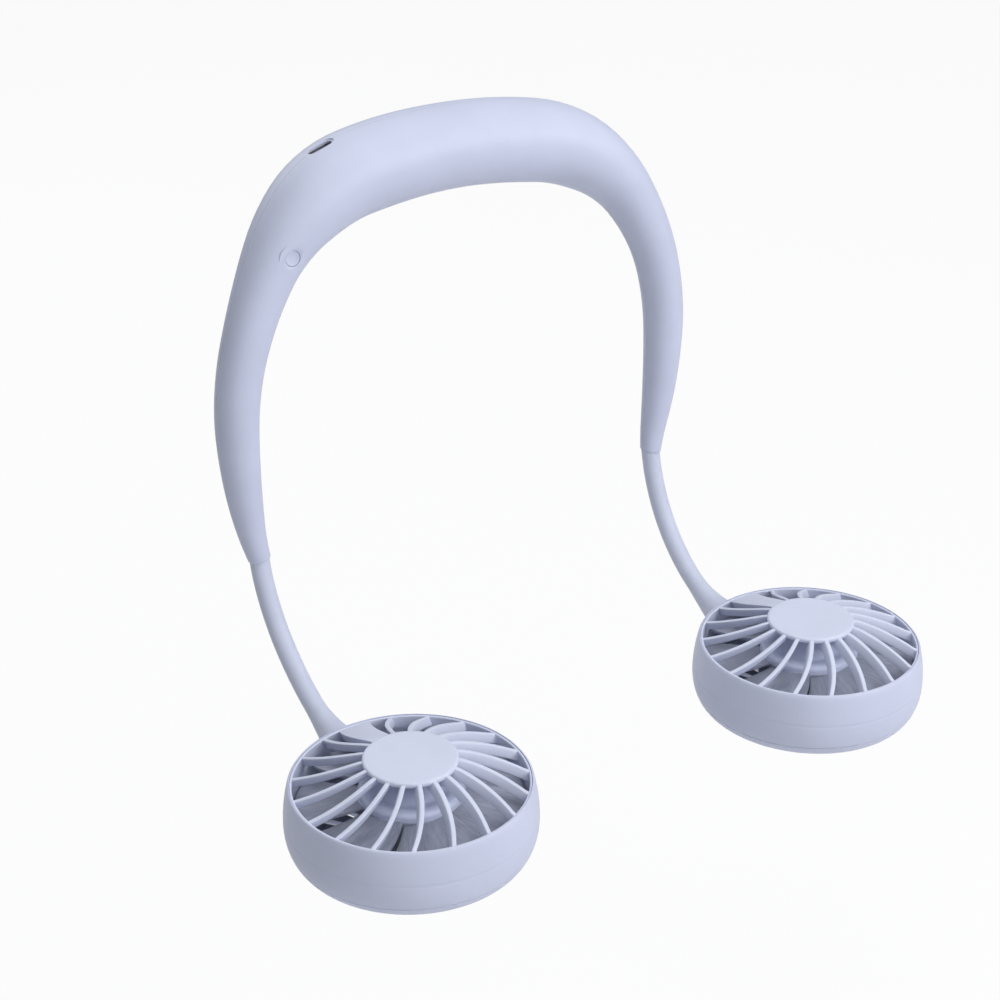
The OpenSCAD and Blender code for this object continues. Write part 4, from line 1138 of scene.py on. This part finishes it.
class NECKFAN_OT_stage(bpy.types.Operator):
    """Sets the floor, the lights and the camera"""

    bl_idname = "neck_fan.stage"
    bl_label = "Stage"

    def execute(self, context):
        tones = sidebar("colours")
        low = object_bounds()[0][2] - tones.floor_drop
        bpy.ops.mesh.primitive_grid_add(x_subdivisions=8, y_subdivisions=8, size=6, location=(0, 0, low))
        floor = context.object
        floor.name = "studio_floor"
        floor.data.materials.append(self.floor_finish(tones))
        floor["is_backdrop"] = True
        for name, lamp in LAMPS.items():
            self.light(name, *lamp)
        self.world(context.scene)
        self.camera(context.scene)
        return {"FINISHED"}

    def floor_finish(self, tones):
        """A pale floor that the camera sees nearly white."""
        finish = Finish("pale_floor")
        base = finish.mixed(shaded(tones.floor, 0.99), tones.floor, finish.noise(0.01))
        plain = finish.principled(base_color=base, roughness=0.9, specular_ior_level=0.1)
        rays = finish.node("ShaderNodeLightPath").outputs
        seen = finish.maths("ADD", rays["Is Camera Ray"], rays["Is Glossy Ray"])
        seen = finish.limited(seen + rays["Is Transmission Ray"])
        white = finish.node("ShaderNodeEmission", None, {"Color": (1, 1, 1), "Strength": 1.0})
        return finish.over(plain, white.outputs[0], seen * tones.whiteness)

    def light(self, name, place, size, power):
        """A soft round lamp that looks at the object's middle."""
        bpy.ops.object.light_add(type="AREA", location=place)
        lamp = bpy.context.object
        lamp.name = f"{name}_light"
        lamp.data.shape = "DISK"
        lamp.data.size = size
        lamp.data.energy = power
        lamp.rotation_euler = (LAMP_TARGET - Vector(place)).to_track_quat("-Z", "Y").to_euler()

    def world(self, scene):
        """Even light from all round, with white where the camera looks past the floor."""
        scene.world = scene.world or bpy.data.worlds.new("studio")
        sky = Nodes(scene.world, "ShaderNodeOutputWorld")
        rays = sky.node("ShaderNodeLightPath").outputs
        even = sky.node("ShaderNodeBackground", None, {"Color": (0.90, 0.94, 1.0), "Strength": 0.235})
        white = sky.node("ShaderNodeBackground", None, {"Color": (1, 1, 1)})
        seen = sky.maths("MAXIMUM", rays["Is Camera Ray"], rays["Is Transmission Ray"])
        sky.over(even.outputs[0], white.outputs[0], seen)

    def camera(self, scene):
        """The photograph's view, from above the left front."""
        bpy.ops.object.camera_add(location=CAMERA_PLACE)
        camera = bpy.context.object
        camera.name = "photo_camera"
        camera.rotation_euler = Matrix(CAMERA_AXES).transposed().to_euler()
        camera.data.lens = CAMERA_LENS
        camera.data.sensor_width = 36
        camera.data.clip_start = 0.01
        scene.camera = camera
        scene.view_settings.view_transform = "Standard"


class NECKFAN_PT_pieces(bpy.types.Panel):
    """Lists the neck fan's pieces and sizes"""

    bl_label = "Neck fan"
    bl_space_type = "VIEW_3D"
    bl_region_type = "UI"
    bl_category = "Neck fan"

    def draw(self, context):
        for operator in STEPS:
            self.layout.operator(operator.bl_idname)
        for attribute, group in GROUPS.items():
            box = self.layout.box()
            box.label(text=group.__doc__)
            values = getattr(context.scene, attribute)
            for name in group.__annotations__:
                box.prop(values, name)


GROUPS = {
    "neck_fan_band": NeckFanBand, "neck_fan_arms": NeckFanArms, "neck_fan_heads": NeckFanHeads,
    "neck_fan_grille": NeckFanGrille, "neck_fan_impeller": NeckFanImpeller,
    "neck_fan_colours": NeckFanColours,
}
STEPS = (
    NECKFAN_OT_band, NECKFAN_OT_button, NECKFAN_OT_arms, NECKFAN_OT_housings, NECKFAN_OT_covers,
    NECKFAN_OT_grilles, NECKFAN_OT_impellers, NECKFAN_OT_finishes, NECKFAN_OT_stage,
)


def register():
    for item in (*GROUPS.values(), *STEPS, NECKFAN_PT_pieces):
        bpy.utils.register_class(item)
    for attribute, group in GROUPS.items():
        setattr(bpy.types.Scene, attribute, bpy.props.PointerProperty(type=group))


def unregister():
    for attribute in GROUPS:
        delattr(bpy.types.Scene, attribute)
    for item in (NECKFAN_PT_pieces, *reversed(STEPS), *GROUPS.values()):
        bpy.utils.unregister_class(item)


def main():
    """Builds every piece in order."""
    register()
    pick()
    for step in (
            "band", "button", "arms", "housings", "covers", "grilles", "impellers", "finishes", "stage"):
        getattr(bpy.ops.neck_fan, step)()
    pick()


if __name__ == "__main__":
    main()
